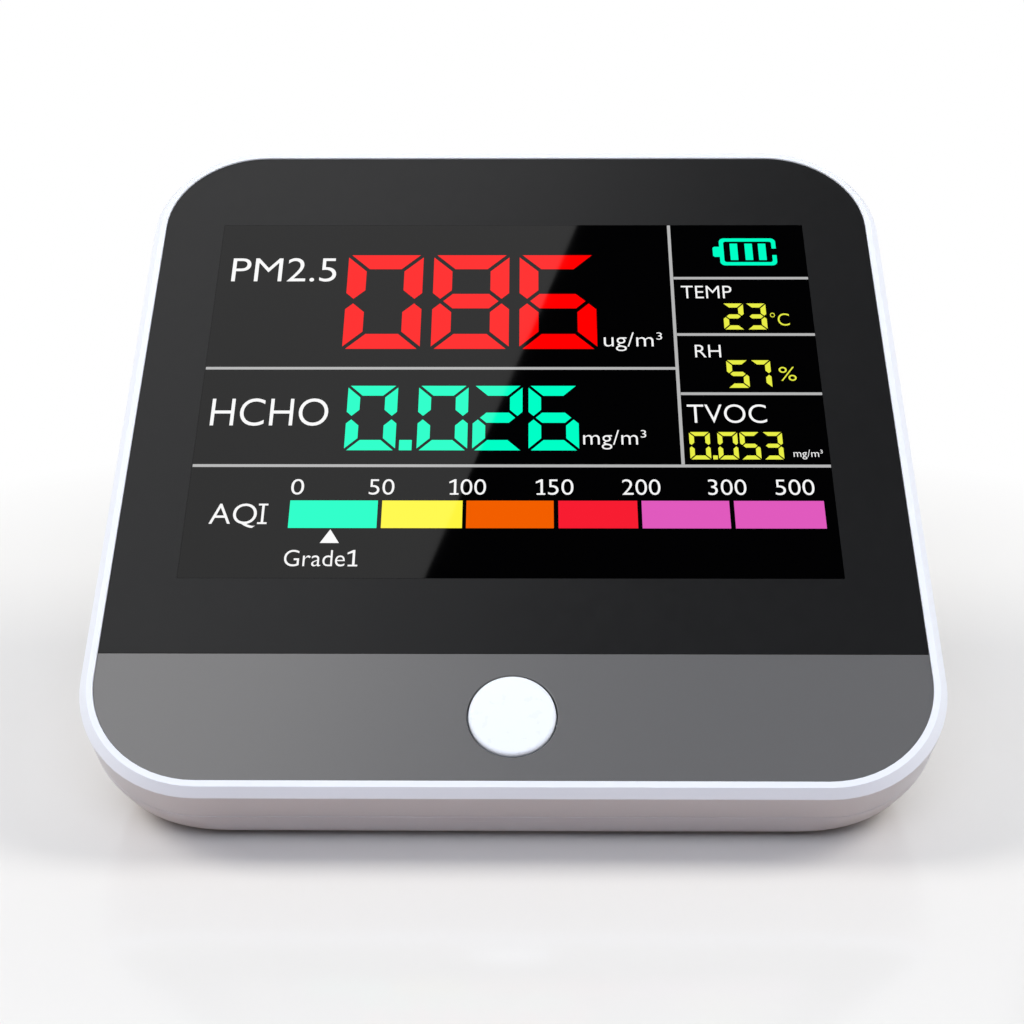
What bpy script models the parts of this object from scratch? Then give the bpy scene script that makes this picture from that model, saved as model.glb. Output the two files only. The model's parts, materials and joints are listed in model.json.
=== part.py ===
"""Desktop air quality monitor: a square face that leans back on a wedge-shaped housing.

Two frames are used. Pieces behind the display are placed in the face frame: x to the right, y up
the face, z out of the face, with depths measured behind the face plane. Pieces at the rear are
placed in the wall frame: x to the right, z up the rear wall, y out of the wall.
"""

import math

import bmesh
import bpy
from mathutils import Matrix, Vector

MM = 0.001

# Attitude and overall sizes
FACE_SLOPE = math.radians(40)  # of the face above the table
PANEL_HALF = 50 * MM
PANEL_CORNER = 13.55 * MM
RIM = 1.8 * MM  # of the bezel beyond the panel, on each side
LIP_WIDTH = 0.8 * MM
LIP_RISE = 0.2 * MM  # of the lip above the panel
FACET_DROP = 0.9 * MM  # the facet falls this far below the panel at the rim
FOOT_DROP = 0.8 * MM  # the feet hold the base this far off the table
WALL_TO_BASE = 10.975 * MM  # depth at which the lower wall would meet the base
BASE_HALF_WIDTH = 48.5 * MM
BASE_LENGTH = 68.5 * MM
BASE_CORNER = 15 * MM
BASE_ROUNDING = 8.5 * MM
SHOULDER = 7 * MM  # the upper wall runs this deep before it turns down
SHOULDER_ROUNDING = 11 * MM
SHELL_WALL = 2 * MM
REACH = 4 * MM  # cutters run this far past the surface they open

# Clearances
GAP = 0.3 * MM  # between pieces that rest on each other
SEAM = 0.15 * MM  # each side of a seam between pieces that lie flush

# Face stack, as depths behind the face
PANEL_THICKNESS = 1.5 * MM
TRAY_FRONT = PANEL_THICKNESS + GAP
TRAY_BACK = 3.4 * MM
SKIRT_DEPTH = 5.8 * MM
PARTING_DEPTH = SKIRT_DEPTH + GAP
COVER_LIP_DEPTH = 4.4 * MM
COVER_LIP_INSET = (0.3 * MM, 1.3 * MM)
BOARD_DEPTH = 8.9 * MM
BOARD_THICKNESS = 1.6 * MM

# Display and controls
STRIP_TOP = -33.3 * MM  # the seam between the dark panel and the control strip
WINDOW_CENTRE = (-0.35 * MM, 7 * MM)
WINDOW_HALF = (41.35 * MM, 29.7 * MM)
GLASS_HALF = (44 * MM, 32.5 * MM)
FRAME_HALF = (45.3 * MM, 33.8 * MM)
BUTTON_Y = -41.6 * MM
BUTTON_RADIUS = 5.17 * MM
BUTTON_FLANGE = 6.7 * MM
BUTTON_RISE = 0.5 * MM

# Posts and screws, as (x, y) on the face
CASE_POSTS = [(x * MM, y * MM) for x, y in ((-40, -40), (40, -40), (-36, 43.9), (36, 43.9))]
CASE_POST_RADIUS = 2.8 * MM
CASE_POST_DEPTH = 11 * MM
CASE_BOSS_RADIUS = 4.3 * MM
CASE_SEAT_DEPTH = 15.2 * MM
CASE_WELL_RADIUS = 3.1 * MM
# Screws are (head radius, head height, shank radius, shank length)
CASE_SCREW = (2.4 * MM, 1.8 * MM, 1.3 * MM, 9.5 * MM)
BOARD_POSTS = [(x * MM, y * MM) for y in (-42.5, 43.8) for x in (-24, 24)]
BOARD_POST_RADIUS = 2.2 * MM
BOARD_SCREW = (1.9 * MM, 1.3 * MM, 1 * MM, 5 * MM)

# Rear wall pieces, in the wall frame
VENT_SLOTS = 7
VENT_HALF_WIDTH = 13 * MM
VENT_CENTRE_X = 19.5 * MM
VENT_BOTTOM = 20 * MM
VENT_PITCH = 4.2 * MM
VENT_HEIGHT = 1.8 * MM
USB_Z = 11 * MM
USB_RECESS_HALF = (6.25 * MM, 3.8 * MM)
USB_MOUTH = -3.6 * MM
BATTERY_SIZE = (50 * MM, 34 * MM, 8 * MM)
SENSOR_POSTS = [(36 * MM, 19.5 * MM), (3.1 * MM, 45.5 * MM)]  # (x, z)
USB_POSTS = [(-5.5 * MM, -13 * MM), (5.5 * MM, -13 * MM)]  # (x, y)

# Feet, as (x, distance behind the front of the base)
FEET = [(x * MM, y * MM) for x, y in ((-27, 12), (27, 12), (-33, 57), (33, 57))]
FOOT_RADIUS = 4.5 * MM
FOOT_RECESS = 0.7 * MM

# Leads and their plugs on the main board
PLUG_THICKNESS = 1.4 * MM
LEAD_RADIUS = 0.8 * MM

CORNER_STEPS = 9
SIDE_STEPS = 3


# Shared frames and points

SIN_SLOPE = math.sin(FACE_SLOPE)
COS_SLOPE = math.cos(FACE_SLOPE)
UP_FACE = Vector((0, COS_SLOPE, SIN_SLOPE))
INTO_FACE = Vector((0, SIN_SLOPE, -COS_SLOPE))
OUTER_HALF = PANEL_HALF + RIM
FACE_HEIGHT = FOOT_DROP + WALL_TO_BASE * COS_SLOPE + OUTER_HALF * SIN_SLOPE
BASE_FRONT = -OUTER_HALF * COS_SLOPE + WALL_TO_BASE * SIN_SLOPE


def face_point(x, y, depth):
    """A point of the face frame in assembly coordinates, whose y is 0 at the face's centre."""
    return Vector((x, 0, FACE_HEIGHT)) + UP_FACE * y + INTO_FACE * depth


SHOULDER_TOP = face_point(0, OUTER_HALF, PARTING_DEPTH + SHOULDER)
BASE_REAR = BASE_FRONT + BASE_LENGTH
WALL_LEAN = math.atan2(SHOULDER_TOP.y - BASE_REAR, SHOULDER_TOP.z - FOOT_DROP)


def wall_point(x, y, z):
    """A point of the wall frame in assembly coordinates."""
    return Vector((x, BASE_REAR, FOOT_DROP)) + Matrix.Rotation(-WALL_LEAN, 3, "X") @ Vector((0, y, z))


# Small builders

def clear_scene():
    for old in list(bpy.data.objects):
        bpy.data.objects.remove(old, do_unlink=True)


def material(name, colour, roughness, metallic=0.0):
    made = bpy.data.materials.new(name)
    made.use_nodes = True
    shader = made.node_tree.nodes["Principled BSDF"]
    shader.inputs["Base Color"].default_value = (*colour, 1)
    shader.inputs["Roughness"].default_value = roughness
    shader.inputs["Metallic"].default_value = metallic
    made.diffuse_color = (*colour, 1)
    return made


def empty(name, parent, location, turn_x):
    made = bpy.data.objects.new(name, None)
    bpy.context.scene.collection.objects.link(made)
    made.parent = parent
    made.location = location
    made.rotation_euler = (turn_x, 0, 0)
    return made


def place(name, bm, parent, look=None, location=(0, 0, 0), rotation=(0, 0, 0)):
    """Turn a bmesh into a named object; without a material it is a cutter, hidden from renders."""
    bmesh.ops.recalc_face_normals(bm, faces=bm.faces)
    mesh = bpy.data.meshes.new(name)
    bm.to_mesh(mesh)
    bm.free()
    mesh.shade_smooth()
    mesh.set_sharp_from_angle(angle=math.radians(35))
    made = bpy.data.objects.new(name, mesh)
    bpy.context.scene.collection.objects.link(made)
    made.parent = parent
    made.location = location
    made.rotation_euler = rotation
    if look:
        mesh.materials.append(look)
    else:
        made.hide_render = True
        made.display_type = "WIRE"
    return made


def boolean(target, operation, other):
    modifier = target.modifiers.new(operation.lower() + "_" + other.name, "BOOLEAN")
    modifier.operation = operation
    modifier.object = other
    modifier.solver = "EXACT"


def loft(bm, loops):
    """Skin a row of equally long loops and cap both ends."""
    rows = [[bm.verts.new(point) for point in loop] for loop in loops]
    for lower, upper in zip(rows, rows[1:]):
        for i in range(len(lower)):
            j = (i + 1) % len(lower)
            bm.faces.new((lower[i], lower[j], upper[j], upper[i]))
    bm.faces.new(rows[0][::-1])
    bm.faces.new(rows[-1])
    return bm


def rounded_rectangle(half_x, half_y, radius, corner_steps=CORNER_STEPS, side_steps=SIDE_STEPS):
    """Anticlockwise outline that starts at the lower end of the right side."""
    points = []
    for corner in range(4):
        sign_x = 1 if corner in (0, 3) else -1
        sign_y = 1 if corner in (0, 1) else -1
        centre = Vector((sign_x * (half_x - radius), sign_y * (half_y - radius)))
        start = corner * math.pi / 2
        for step in range(corner_steps + 1):
            angle = start + step / corner_steps * math.pi / 2
            points.append(centre + radius * Vector((math.cos(angle), math.sin(angle))))
    outline = []
    per_corner = corner_steps + 1
    for corner in range(4):
        last = points[corner * per_corner - 1]
        first = points[corner * per_corner]
        for step in range(1, side_steps):
            outline.append(last.lerp(first, step / side_steps))
        outline.extend(points[corner * per_corner:(corner + 1) * per_corner])
    return outline


def at_height(outline, z):
    return [Vector((point.x, point.y, z)) for point in outline]


def prism(outline, low, high, chamfer=0):
    """Extruded outline of (x, y) points whose top edge may be chamfered."""
    flat = [Vector((point[0], point[1])) for point in outline]
    loops = [at_height(flat, low)]
    if chamfer:
        loops.append(at_height(flat, high - chamfer))
        flat = inset(flat, chamfer)
    loops.append(at_height(flat, high))
    return loft(bmesh.new(), loops)


def inset(outline, distance):
    """Move each point of an anticlockwise outline inward along the mitre of its two sides."""
    moved = []
    for i, point in enumerate(outline):
        before = (point - outline[i - 1]).normalized()
        after = (outline[(i + 1) % len(outline)] - point).normalized()
        normal = Vector((-before.y - after.y, before.x + after.x)).normalized()
        cosine = max(normal.dot(Vector((-before.y, before.x))), 0.5)
        moved.append(point + normal * distance / cosine)
    return moved


def box(low, high):
    bm = bmesh.new()
    bmesh.ops.create_cube(bm, size=1)
    size = Vector(high) - Vector(low)
    centre = (Vector(high) + Vector(low)) / 2
    bmesh.ops.transform(bm, matrix=Matrix.Translation(centre) @ Matrix.Diagonal((*size, 1)), verts=bm.verts)
    return bm


def lathe(profile, steps=24, centre=(0, 0, 0)):
    """Turn (radius, z) points about the z axis; the profile starts and ends on the axis."""
    bm = bmesh.new()
    rows = []
    for radius, z in profile[1:-1]:
        angles = [2 * math.pi * i / steps for i in range(steps)]
        rows.append([bm.verts.new((radius * math.cos(a), radius * math.sin(a), z)) for a in angles])
    for lower, upper in zip(rows, rows[1:]):
        for i in range(steps):
            j = (i + 1) % steps
            bm.faces.new((lower[i], lower[j], upper[j], upper[i]))
    for row, (_, z) in ((rows[0], profile[0]), (rows[-1], profile[-1])):
        tip = bm.verts.new((0, 0, z))
        for i in range(steps):
            bm.faces.new((row[i], row[(i + 1) % steps], tip))
    bmesh.ops.translate(bm, vec=centre, verts=bm.verts)
    return bm


def cylinder(radius, low, high, centre=(0, 0), steps=24):
    profile = [(0, low), (radius, low), (radius, high), (0, high)]
    return lathe(profile, steps, (centre[0], centre[1], 0))


def merged(parts):
    """Several separate bodies in one bmesh, for a cutter or a union operand."""
    whole = bmesh.new()
    for part in parts:
        mesh = bpy.data.meshes.new("part")
        part.to_mesh(mesh)
        part.free()
        whole.from_mesh(mesh)
        bpy.data.meshes.remove(mesh)
    return whole


def laid_along_y(bm):
    """Turn a shape built along z so that its z runs along +y."""
    bmesh.ops.rotate(bm, cent=(0, 0, 0), matrix=Matrix.Rotation(-math.pi / 2, 3, "X"), verts=bm.verts)
    return bm


# Housing

def bezel(face, look):
    """White frame: lip and facet round the panel, side wall, tray behind the panel and screw posts."""
    def outline(offset, depth):
        half = PANEL_HALF + offset
        return at_height(rounded_rectangle(half, half, PANEL_CORNER + offset), -depth)

    edge = 0.1 * MM
    section = [
        (0, TRAY_BACK), (0, SKIRT_DEPTH), (RIM, SKIRT_DEPTH), (RIM, FACET_DROP + edge),
        (RIM - edge, FACET_DROP - edge), (LIP_WIDTH, -LIP_RISE), (SEAM + edge, -LIP_RISE),
        (SEAM, edge - LIP_RISE), (SEAM, TRAY_FRONT),
    ]
    frame = place("front_bezel", loft(bmesh.new(), [outline(*point) for point in section]), face, look)
    posts = [cylinder(CASE_POST_RADIUS, -CASE_POST_DEPTH, -TRAY_BACK + GAP, at) for at in CASE_POSTS]
    posts += [cylinder(BOARD_POST_RADIUS, -BOARD_DEPTH + GAP, -TRAY_BACK + GAP, at) for at in BOARD_POSTS]
    boolean(frame, "UNION", place("bezel_posts", merged(posts), face))
    pilot_end = -TRAY_BACK - MM
    holes = [cylinder(CASE_SCREW[2] + GAP, -CASE_POST_DEPTH - MM, pilot_end, at, 16) for at in CASE_POSTS]
    holes += [cylinder(BOARD_SCREW[2] + GAP, -BOARD_DEPTH - MM, pilot_end, at, 16) for at in BOARD_POSTS]
    half_x, half_y = (half + GAP for half in GLASS_HALF)
    x, y = WINDOW_CENTRE
    through = (-TRAY_BACK - MM, -MM)
    holes.append(box((x - half_x, y - half_y, through[0]), (x + half_x, y + half_y, through[1])))
    holes.append(cylinder(BUTTON_FLANGE + GAP, *through, (0, BUTTON_Y), 32))
    boolean(frame, "DIFFERENCE", place("bezel_holes", merged(holes), face))


def rounded_path(points, radii, arc_steps):
    """A path through 3D points whose inner corners are rounded, as far as the legs allow."""
    path = [points[0]]
    for i in range(1, len(points) - 1):
        corner = points[i]
        back = points[i - 1] - corner
        ahead = points[i + 1] - corner
        turn = math.pi - back.angle(ahead)
        room = min(back.length, ahead.length) * 0.48
        reach = min(radii[i - 1] * math.tan(turn / 2), room)
        start = corner + back.normalized() * reach
        end = corner + ahead.normalized() * reach
        for step in range(arc_steps + 1):
            t = step / arc_steps
            path.append(start * (1 - t) ** 2 + corner * 2 * t * (1 - t) + end * t ** 2)
    path.append(points[-1])
    return path


def wedge(rim_offset, start_loops, base_inset, base_lift):
    """Loft from the square rim behind the face down to the rounded base outline."""
    low_shoulder = 1.2 * MM
    half = PANEL_HALF + rim_offset
    rim = rounded_rectangle(half, half, PANEL_CORNER + rim_offset)
    base_half_y = BASE_LENGTH / 2
    base_centre = BASE_FRONT + base_half_y
    base = rounded_rectangle(
        BASE_HALF_WIDTH - base_inset, base_half_y - base_inset, BASE_CORNER - base_inset)
    core = rounded_rectangle(
        BASE_HALF_WIDTH - BASE_ROUNDING, base_half_y - BASE_ROUNDING, BASE_CORNER - BASE_ROUNDING)
    paths = []
    for at_rim, at_base, at_core in zip(rim, base, core):
        share = (at_rim.y + half) / (2 * half)
        depth = PARTING_DEPTH + low_shoulder + (SHOULDER - low_shoulder) * share
        height = FOOT_DROP + base_lift
        corners = [
            face_point(at_rim.x, at_rim.y, PARTING_DEPTH),
            face_point(at_rim.x, at_rim.y, depth),
            Vector((at_base.x, at_base.y + base_centre, height)),
            Vector((at_core.x, at_core.y + base_centre, height)),
        ]
        radii = (SHOULDER_ROUNDING * share + MM, BASE_ROUNDING - base_inset / 2)
        paths.append(rounded_path(corners, radii, 5))
    loops = [
        [face_point(p.x, p.y, depth) for p in rounded_rectangle(
            PANEL_HALF + offset, PANEL_HALF + offset, PANEL_CORNER + offset)]
        for offset, depth in start_loops
    ]
    loops += [list(loop) for loop in zip(*paths)]
    return loft(bmesh.new(), loops)


def vent_boxes():
    slots = []
    for side in (-1, 1):
        for i in range(VENT_SLOTS):
            z = VENT_BOTTOM + i * VENT_PITCH
            x = side * VENT_CENTRE_X
            low = (x - VENT_HALF_WIDTH, -REACH, z)
            slots.append(box(low, (x + VENT_HALF_WIDTH, REACH, z + VENT_HEIGHT)))
    return slots


def feet_places():
    return [(x, BASE_FRONT + behind) for x, behind in FEET]


def laid_cylinders(radius, low, high, places):
    """Pilot holes or bosses along y of the wall frame, at (x, z) places."""
    return [laid_along_y(cylinder(radius, low, high, (x, -z), 16)) for x, z in places]


def rear_cover(assembly, face, wall, look):
    """Wedge-shaped shell with screw bosses, wells, vents, the USB recess and foot recesses."""
    lip_outer, lip_inner = (-inset_by for inset_by in COVER_LIP_INSET)
    outer = wedge(RIM, [(lip_outer, COVER_LIP_DEPTH), (lip_outer, PARTING_DEPTH)], 0, 0)
    shell = place("rear_cover", outer, assembly, look)
    inner = wedge(lip_inner, [(lip_inner, COVER_LIP_DEPTH - MM)], SHELL_WALL, SHELL_WALL)
    cavity = place("cover_cavity", inner, assembly)
    boss_top = -CASE_POST_DEPTH - GAP
    far = -60 * MM
    bosses = [cylinder(CASE_BOSS_RADIUS, far, boss_top, at) for at in CASE_POSTS]
    boolean(cavity, "DIFFERENCE", place("case_bosses", merged(bosses), face))
    stubs = laid_cylinders(1.9 * MM, -11.4 * MM, REACH, SENSOR_POSTS)
    stubs += [cylinder(1.8 * MM, -20 * MM, USB_Z - 3.1 * MM, at, 16) for at in USB_POSTS]
    boolean(cavity, "DIFFERENCE", place("wall_bosses", merged(stubs), wall))
    boolean(shell, "DIFFERENCE", cavity)
    wells = [cylinder(CASE_WELL_RADIUS, far, -CASE_SEAT_DEPTH, at) for at in CASE_POSTS]
    boolean(shell, "DIFFERENCE", place("case_wells", merged(wells), face))
    holes = [cylinder(CASE_SCREW[2] + GAP, -CASE_SEAT_DEPTH - MM, boss_top + MM, at, 16) for at in CASE_POSTS]
    boolean(shell, "DIFFERENCE", place("case_screw_holes", merged(holes), face))
    half_x, half_z = USB_RECESS_HALF
    recess = laid_along_y(prism(rounded_rectangle(half_x, half_z, 2 * MM, 4, 1), -REACH, REACH))
    bmesh.ops.translate(recess, vec=(0, 0, USB_Z), verts=recess.verts)
    pilots = laid_cylinders(BOARD_SCREW[2] + GAP, -12 * MM, -5 * MM, SENSOR_POSTS)
    boolean(shell, "DIFFERENCE", place("wall_cuts", merged(vent_boxes() + [recess] + pilots), wall))
    recesses = [cylinder(FOOT_RADIUS + GAP, 0, FOOT_DROP + FOOT_RECESS, at) for at in feet_places()]
    boolean(shell, "DIFFERENCE", place("foot_recesses", merged(recesses), assembly))


def feet(assembly, look):
    edge = 0.3 * MM
    top = FOOT_DROP + FOOT_RECESS - GAP
    profile = [(0, 0), (FOOT_RADIUS - edge, 0), (FOOT_RADIUS, edge), (FOOT_RADIUS, top), (0, top)]
    for number, (x, y) in enumerate(feet_places(), 1):
        place(f"foot_{number}", lathe(profile), assembly, look, (x, y, 0))


# Face pieces

def upper_outline(low_y, offset):
    """The panel's outline above a level seam, anticlockwise from the lower right corner."""
    half = PANEL_HALF - offset
    outline = rounded_rectangle(half, half, PANEL_CORNER - offset, CORNER_STEPS, 1)
    above = [point for point in outline if point.y > 0]
    return [Vector((half, low_y)), *above, Vector((-half, low_y))]


def lower_outline(high_y, offset):
    """The panel's outline below a level seam, anticlockwise from the upper left corner."""
    half = PANEL_HALF - offset
    outline = rounded_rectangle(half, half, PANEL_CORNER - offset, CORNER_STEPS, 1)
    below = [point for point in outline if point.y < 0]
    return [Vector((-half, high_y)), *below, Vector((half, high_y))]


def face_panels(face, looks):
    chamfer = 0.1 * MM
    panel = prism(upper_outline(STRIP_TOP + SEAM, SEAM), -PANEL_THICKNESS, 0, chamfer)
    front = place("front_panel", panel, face, looks["satin_black"])
    x, y = WINDOW_CENTRE
    half_x, half_y = WINDOW_HALF
    opening = box((x - half_x, y - half_y, -3 * MM), (x + half_x, y + half_y, MM))
    boolean(front, "DIFFERENCE", place("window_opening", opening, face))
    window_gap = 0.1 * MM
    half_x -= window_gap
    half_y -= window_gap
    corners = [(x + sx * half_x, y + sy * half_y) for sx, sy in ((-1, -1), (1, -1), (1, 1), (-1, 1))]
    place("display_window", prism(corners, -PANEL_THICKNESS, 0), face, looks["window"])
    strip = prism(lower_outline(STRIP_TOP - SEAM, SEAM), -PANEL_THICKNESS, 0, chamfer)
    control = place("control_panel", strip, face, looks["grey"])
    hole = cylinder(BUTTON_RADIUS + 0.2 * MM, -3 * MM, MM, (0, BUTTON_Y), 48)
    boolean(control, "DIFFERENCE", place("button_hole", hole, face))


def button(face, looks):
    """Cap with a retaining flange, and the switch under it. Both move along the face normal."""
    centre = (0, BUTTON_Y, 0)
    flange_top = -TRAY_FRONT - GAP / 2
    flange_bottom = flange_top - 0.8 * MM
    stem_end = -4.3 * MM
    cap = [
        (0, stem_end), (1.6 * MM, stem_end), (1.6 * MM, flange_bottom), (BUTTON_FLANGE, flange_bottom),
        (BUTTON_FLANGE, flange_top), (BUTTON_RADIUS, flange_top), (BUTTON_RADIUS, 0.05 * MM),
        (BUTTON_RADIUS - 0.12 * MM, 0.27 * MM), (BUTTON_RADIUS - 0.4 * MM, 0.38 * MM),
        (BUTTON_RADIUS * 0.5, 0.46 * MM), (0, BUTTON_RISE),
    ]
    place("button_cap", lathe(cap, 40), face, looks["white_gloss"], centre)
    switch_top = -5.5 * MM
    switch_bottom = -BOARD_DEPTH + GAP
    half = 3 * MM
    body = box((-half, -half, switch_bottom), (half, half, switch_top))
    switch = place("tact_switch_body", body, face, looks["black"], centre)
    bore = cylinder(2 * MM, switch_top - 1.6 * MM, switch_top + MM, (0, 0), 24)
    boolean(switch, "DIFFERENCE", place("switch_bore", bore, face, None, centre))
    low = switch_top - 0.8 * MM
    high = stem_end - GAP
    plunger = [(0, low), (1.7 * MM, low), (1.7 * MM, high - 0.2 * MM), (1.5 * MM, high), (0, high)]
    place("tact_switch_plunger", lathe(plunger), face, looks["red"], centre)


def display(face, looks):
    """LCD glass in the tray's opening, light guide and frame behind it, and the ribbon to the board."""
    x, y = WINDOW_CENTRE
    half_x, half_y = GLASS_HALF
    glass_back = TRAY_FRONT + 1.4 * MM
    glass = box((x - half_x, y - half_y, -glass_back), (x + half_x, y + half_y, -TRAY_FRONT))
    place("lcd_glass", glass, face, looks["glass"])
    guide_front = glass_back + GAP
    guide_back = guide_front + 2 * MM
    low = (x - half_x, y - half_y, -guide_back)
    place("lcd_light_guide", box(low, (x + half_x, y + half_y, -guide_front)), face, looks["diffuser"])
    wall = FRAME_HALF
    pocket = [half + GAP for half in GLASS_HALF]
    front = -TRAY_BACK - GAP
    floor = -guide_back - GAP
    loops = []
    for half, z in ((wall, floor - 0.5 * MM), (wall, front), (pocket, front), (pocket, floor)):
        outline = [(-half[0], -half[1]), (half[0], -half[1]), (half[0], half[1]), (-half[0], half[1])]
        loops.append([Vector((x + px, y + py, z)) for px, py in outline])
    place("lcd_frame", loft(bmesh.new(), loops), face, looks["steel"])
    ribbon_low = y - FRAME_HALF[1] - GAP
    path = [(ribbon_low, -4.2 * MM), (ribbon_low - 1.6 * MM, -4.6 * MM), (ribbon_low - 2.4 * MM, -5.8 * MM),
            (ribbon_low - 2.4 * MM, -7 * MM)]
    place("lcd_ribbon", band(path, 0.35 * MM, 9 * MM), face, looks["amber"])
    place("ribbon_connector", box(
        (-11 * MM, ribbon_low - 3.9 * MM, -BOARD_DEPTH + GAP), (11 * MM, ribbon_low - 0.9 * MM, -7.3 * MM),
    ), face, looks["ivory"])


def band(path, thickness, half_width):
    """A flat strip whose side view follows (y, z) points."""
    points = [Vector(point) for point in path]
    left = []
    right = []
    for i, point in enumerate(points):
        ahead = points[min(i + 1, len(points) - 1)] - points[max(i - 1, 0)]
        normal = Vector((-ahead.y, ahead.x)).normalized() * thickness / 2
        left.append(point + normal)
        right.append(point - normal)
    return side_prism(left + right[::-1], half_width)


def side_prism(outline, half_width):
    """A side view of (y, z) points, extruded to both sides along x."""
    loops = [[Vector((x, p[0], p[1])) for p in outline] for x in (-half_width, half_width)]
    return loft(bmesh.new(), loops)


# Electronics behind the display

def screw(name, parent, sizes, look, location, rotation=(0, 0, 0)):
    """Pan-head screw: head underside at the origin, head towards +z, shank towards -z."""
    head_radius, head_height, shank_radius, length = sizes
    profile = [
        (0, -length), (shank_radius, -length), (shank_radius, 0), (head_radius, 0),
        (head_radius, head_height * 0.5), (head_radius * 0.75, head_height),
        (head_radius * 0.45, head_height), (0, head_height * 0.4),
    ]
    place(name, lathe(profile, 12), parent, look, location, rotation)


def main_board(face, looks):
    # Corners and chips are in millimetres; a chip is (x, y, width, height, thickness)
    outline = [
        (-34.5, -46.2), (34.5, -46.2), (34.5, -34.5), (45, -34.5), (45, 39.5), (30.5, 39.5),
        (30.5, 46.4), (-30.5, 46.4), (-30.5, 39.5), (-45, 39.5), (-45, -34.5), (-34.5, -34.5),
    ]
    outline = [(x * MM, y * MM) for x, y in outline]
    back = -BOARD_DEPTH - BOARD_THICKNESS
    board = place("main_pcb", prism(outline, back, -BOARD_DEPTH), face, looks["pcb"])
    holes = [cylinder(BOARD_SCREW[2] + GAP, back - MM, -BOARD_DEPTH + MM, at, 16) for at in BOARD_POSTS]
    boolean(board, "DIFFERENCE", place("board_holes", merged(holes), face))
    top = back - GAP
    chips = {
        "mcu_chip": ((-14, -8, 14, 14, 1.2), "black"),
        "charger_chip": ((18, -26, 6, 6, 0.9), "black"),
        "battery_connector": ((30, -24, 8, 5, PLUG_THICKNESS / MM), "ivory"),
        "power_connector": ((16, -10, 6, 4, PLUG_THICKNESS / MM), "ivory"),
        "sensor_connector": ((12, 6, 12, 4, PLUG_THICKNESS / MM), "ivory"),
    }
    for name, (sizes, tone) in chips.items():
        x, y, width, height, thickness = (size * MM for size in sizes)
        low = (x - width / 2, y - height / 2, top - thickness)
        place(name, box(low, (x + width / 2, y + height / 2, top)), face, looks[tone])
    sound = [(0, -1.8 * MM), (0.8 * MM, -1.8 * MM), (0.8 * MM, -2.4 * MM), (4.2 * MM, -2.4 * MM),
             (4.5 * MM, -2.1 * MM), (4.5 * MM, 0), (0, 0)]
    place("buzzer", lathe(sound), face, looks["black"], (-30 * MM, -22 * MM, top))
    for number, (x, y) in enumerate(BOARD_POSTS, 1):
        screw(f"board_screw_{number}", face, BOARD_SCREW, looks["steel"], (x, y, top), (math.pi, 0, 0))


def case_screws(face, looks):
    head = -CASE_SEAT_DEPTH - GAP
    for number, (x, y) in enumerate(CASE_POSTS, 1):
        screw(f"case_screw_{number}", face, CASE_SCREW, looks["steel"], (x, y, head), (math.pi, 0, 0))


def battery(assembly, looks):
    width, length, height = BATTERY_SIZE
    floor = FOOT_DROP + SHELL_WALL + GAP
    front = BASE_FRONT + 19.5 * MM
    pad_top = floor + 0.6 * MM
    low = (-width * 0.4, front + 4 * MM, floor)
    pad = box(low, (width * 0.4, front + length - 4 * MM, pad_top))
    place("battery_pad", pad, assembly, looks["black"])
    outline = rounded_rectangle(length / 2, height / 2, 2.5 * MM, 4, 1)
    middle = Vector((0, front + length / 2, pad_top + GAP + height / 2))
    ends = [(-width / 2, 0.86), (-width / 2 + 0.8 * MM, 1), (width / 2 - 0.8 * MM, 1), (width / 2, 0.86)]
    loops = [[middle + Vector((x, p.x * k, p.y * k)) for p in outline] for x, k in ends]
    place("battery_cell", loft(bmesh.new(), loops), assembly, looks["foil"])


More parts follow.
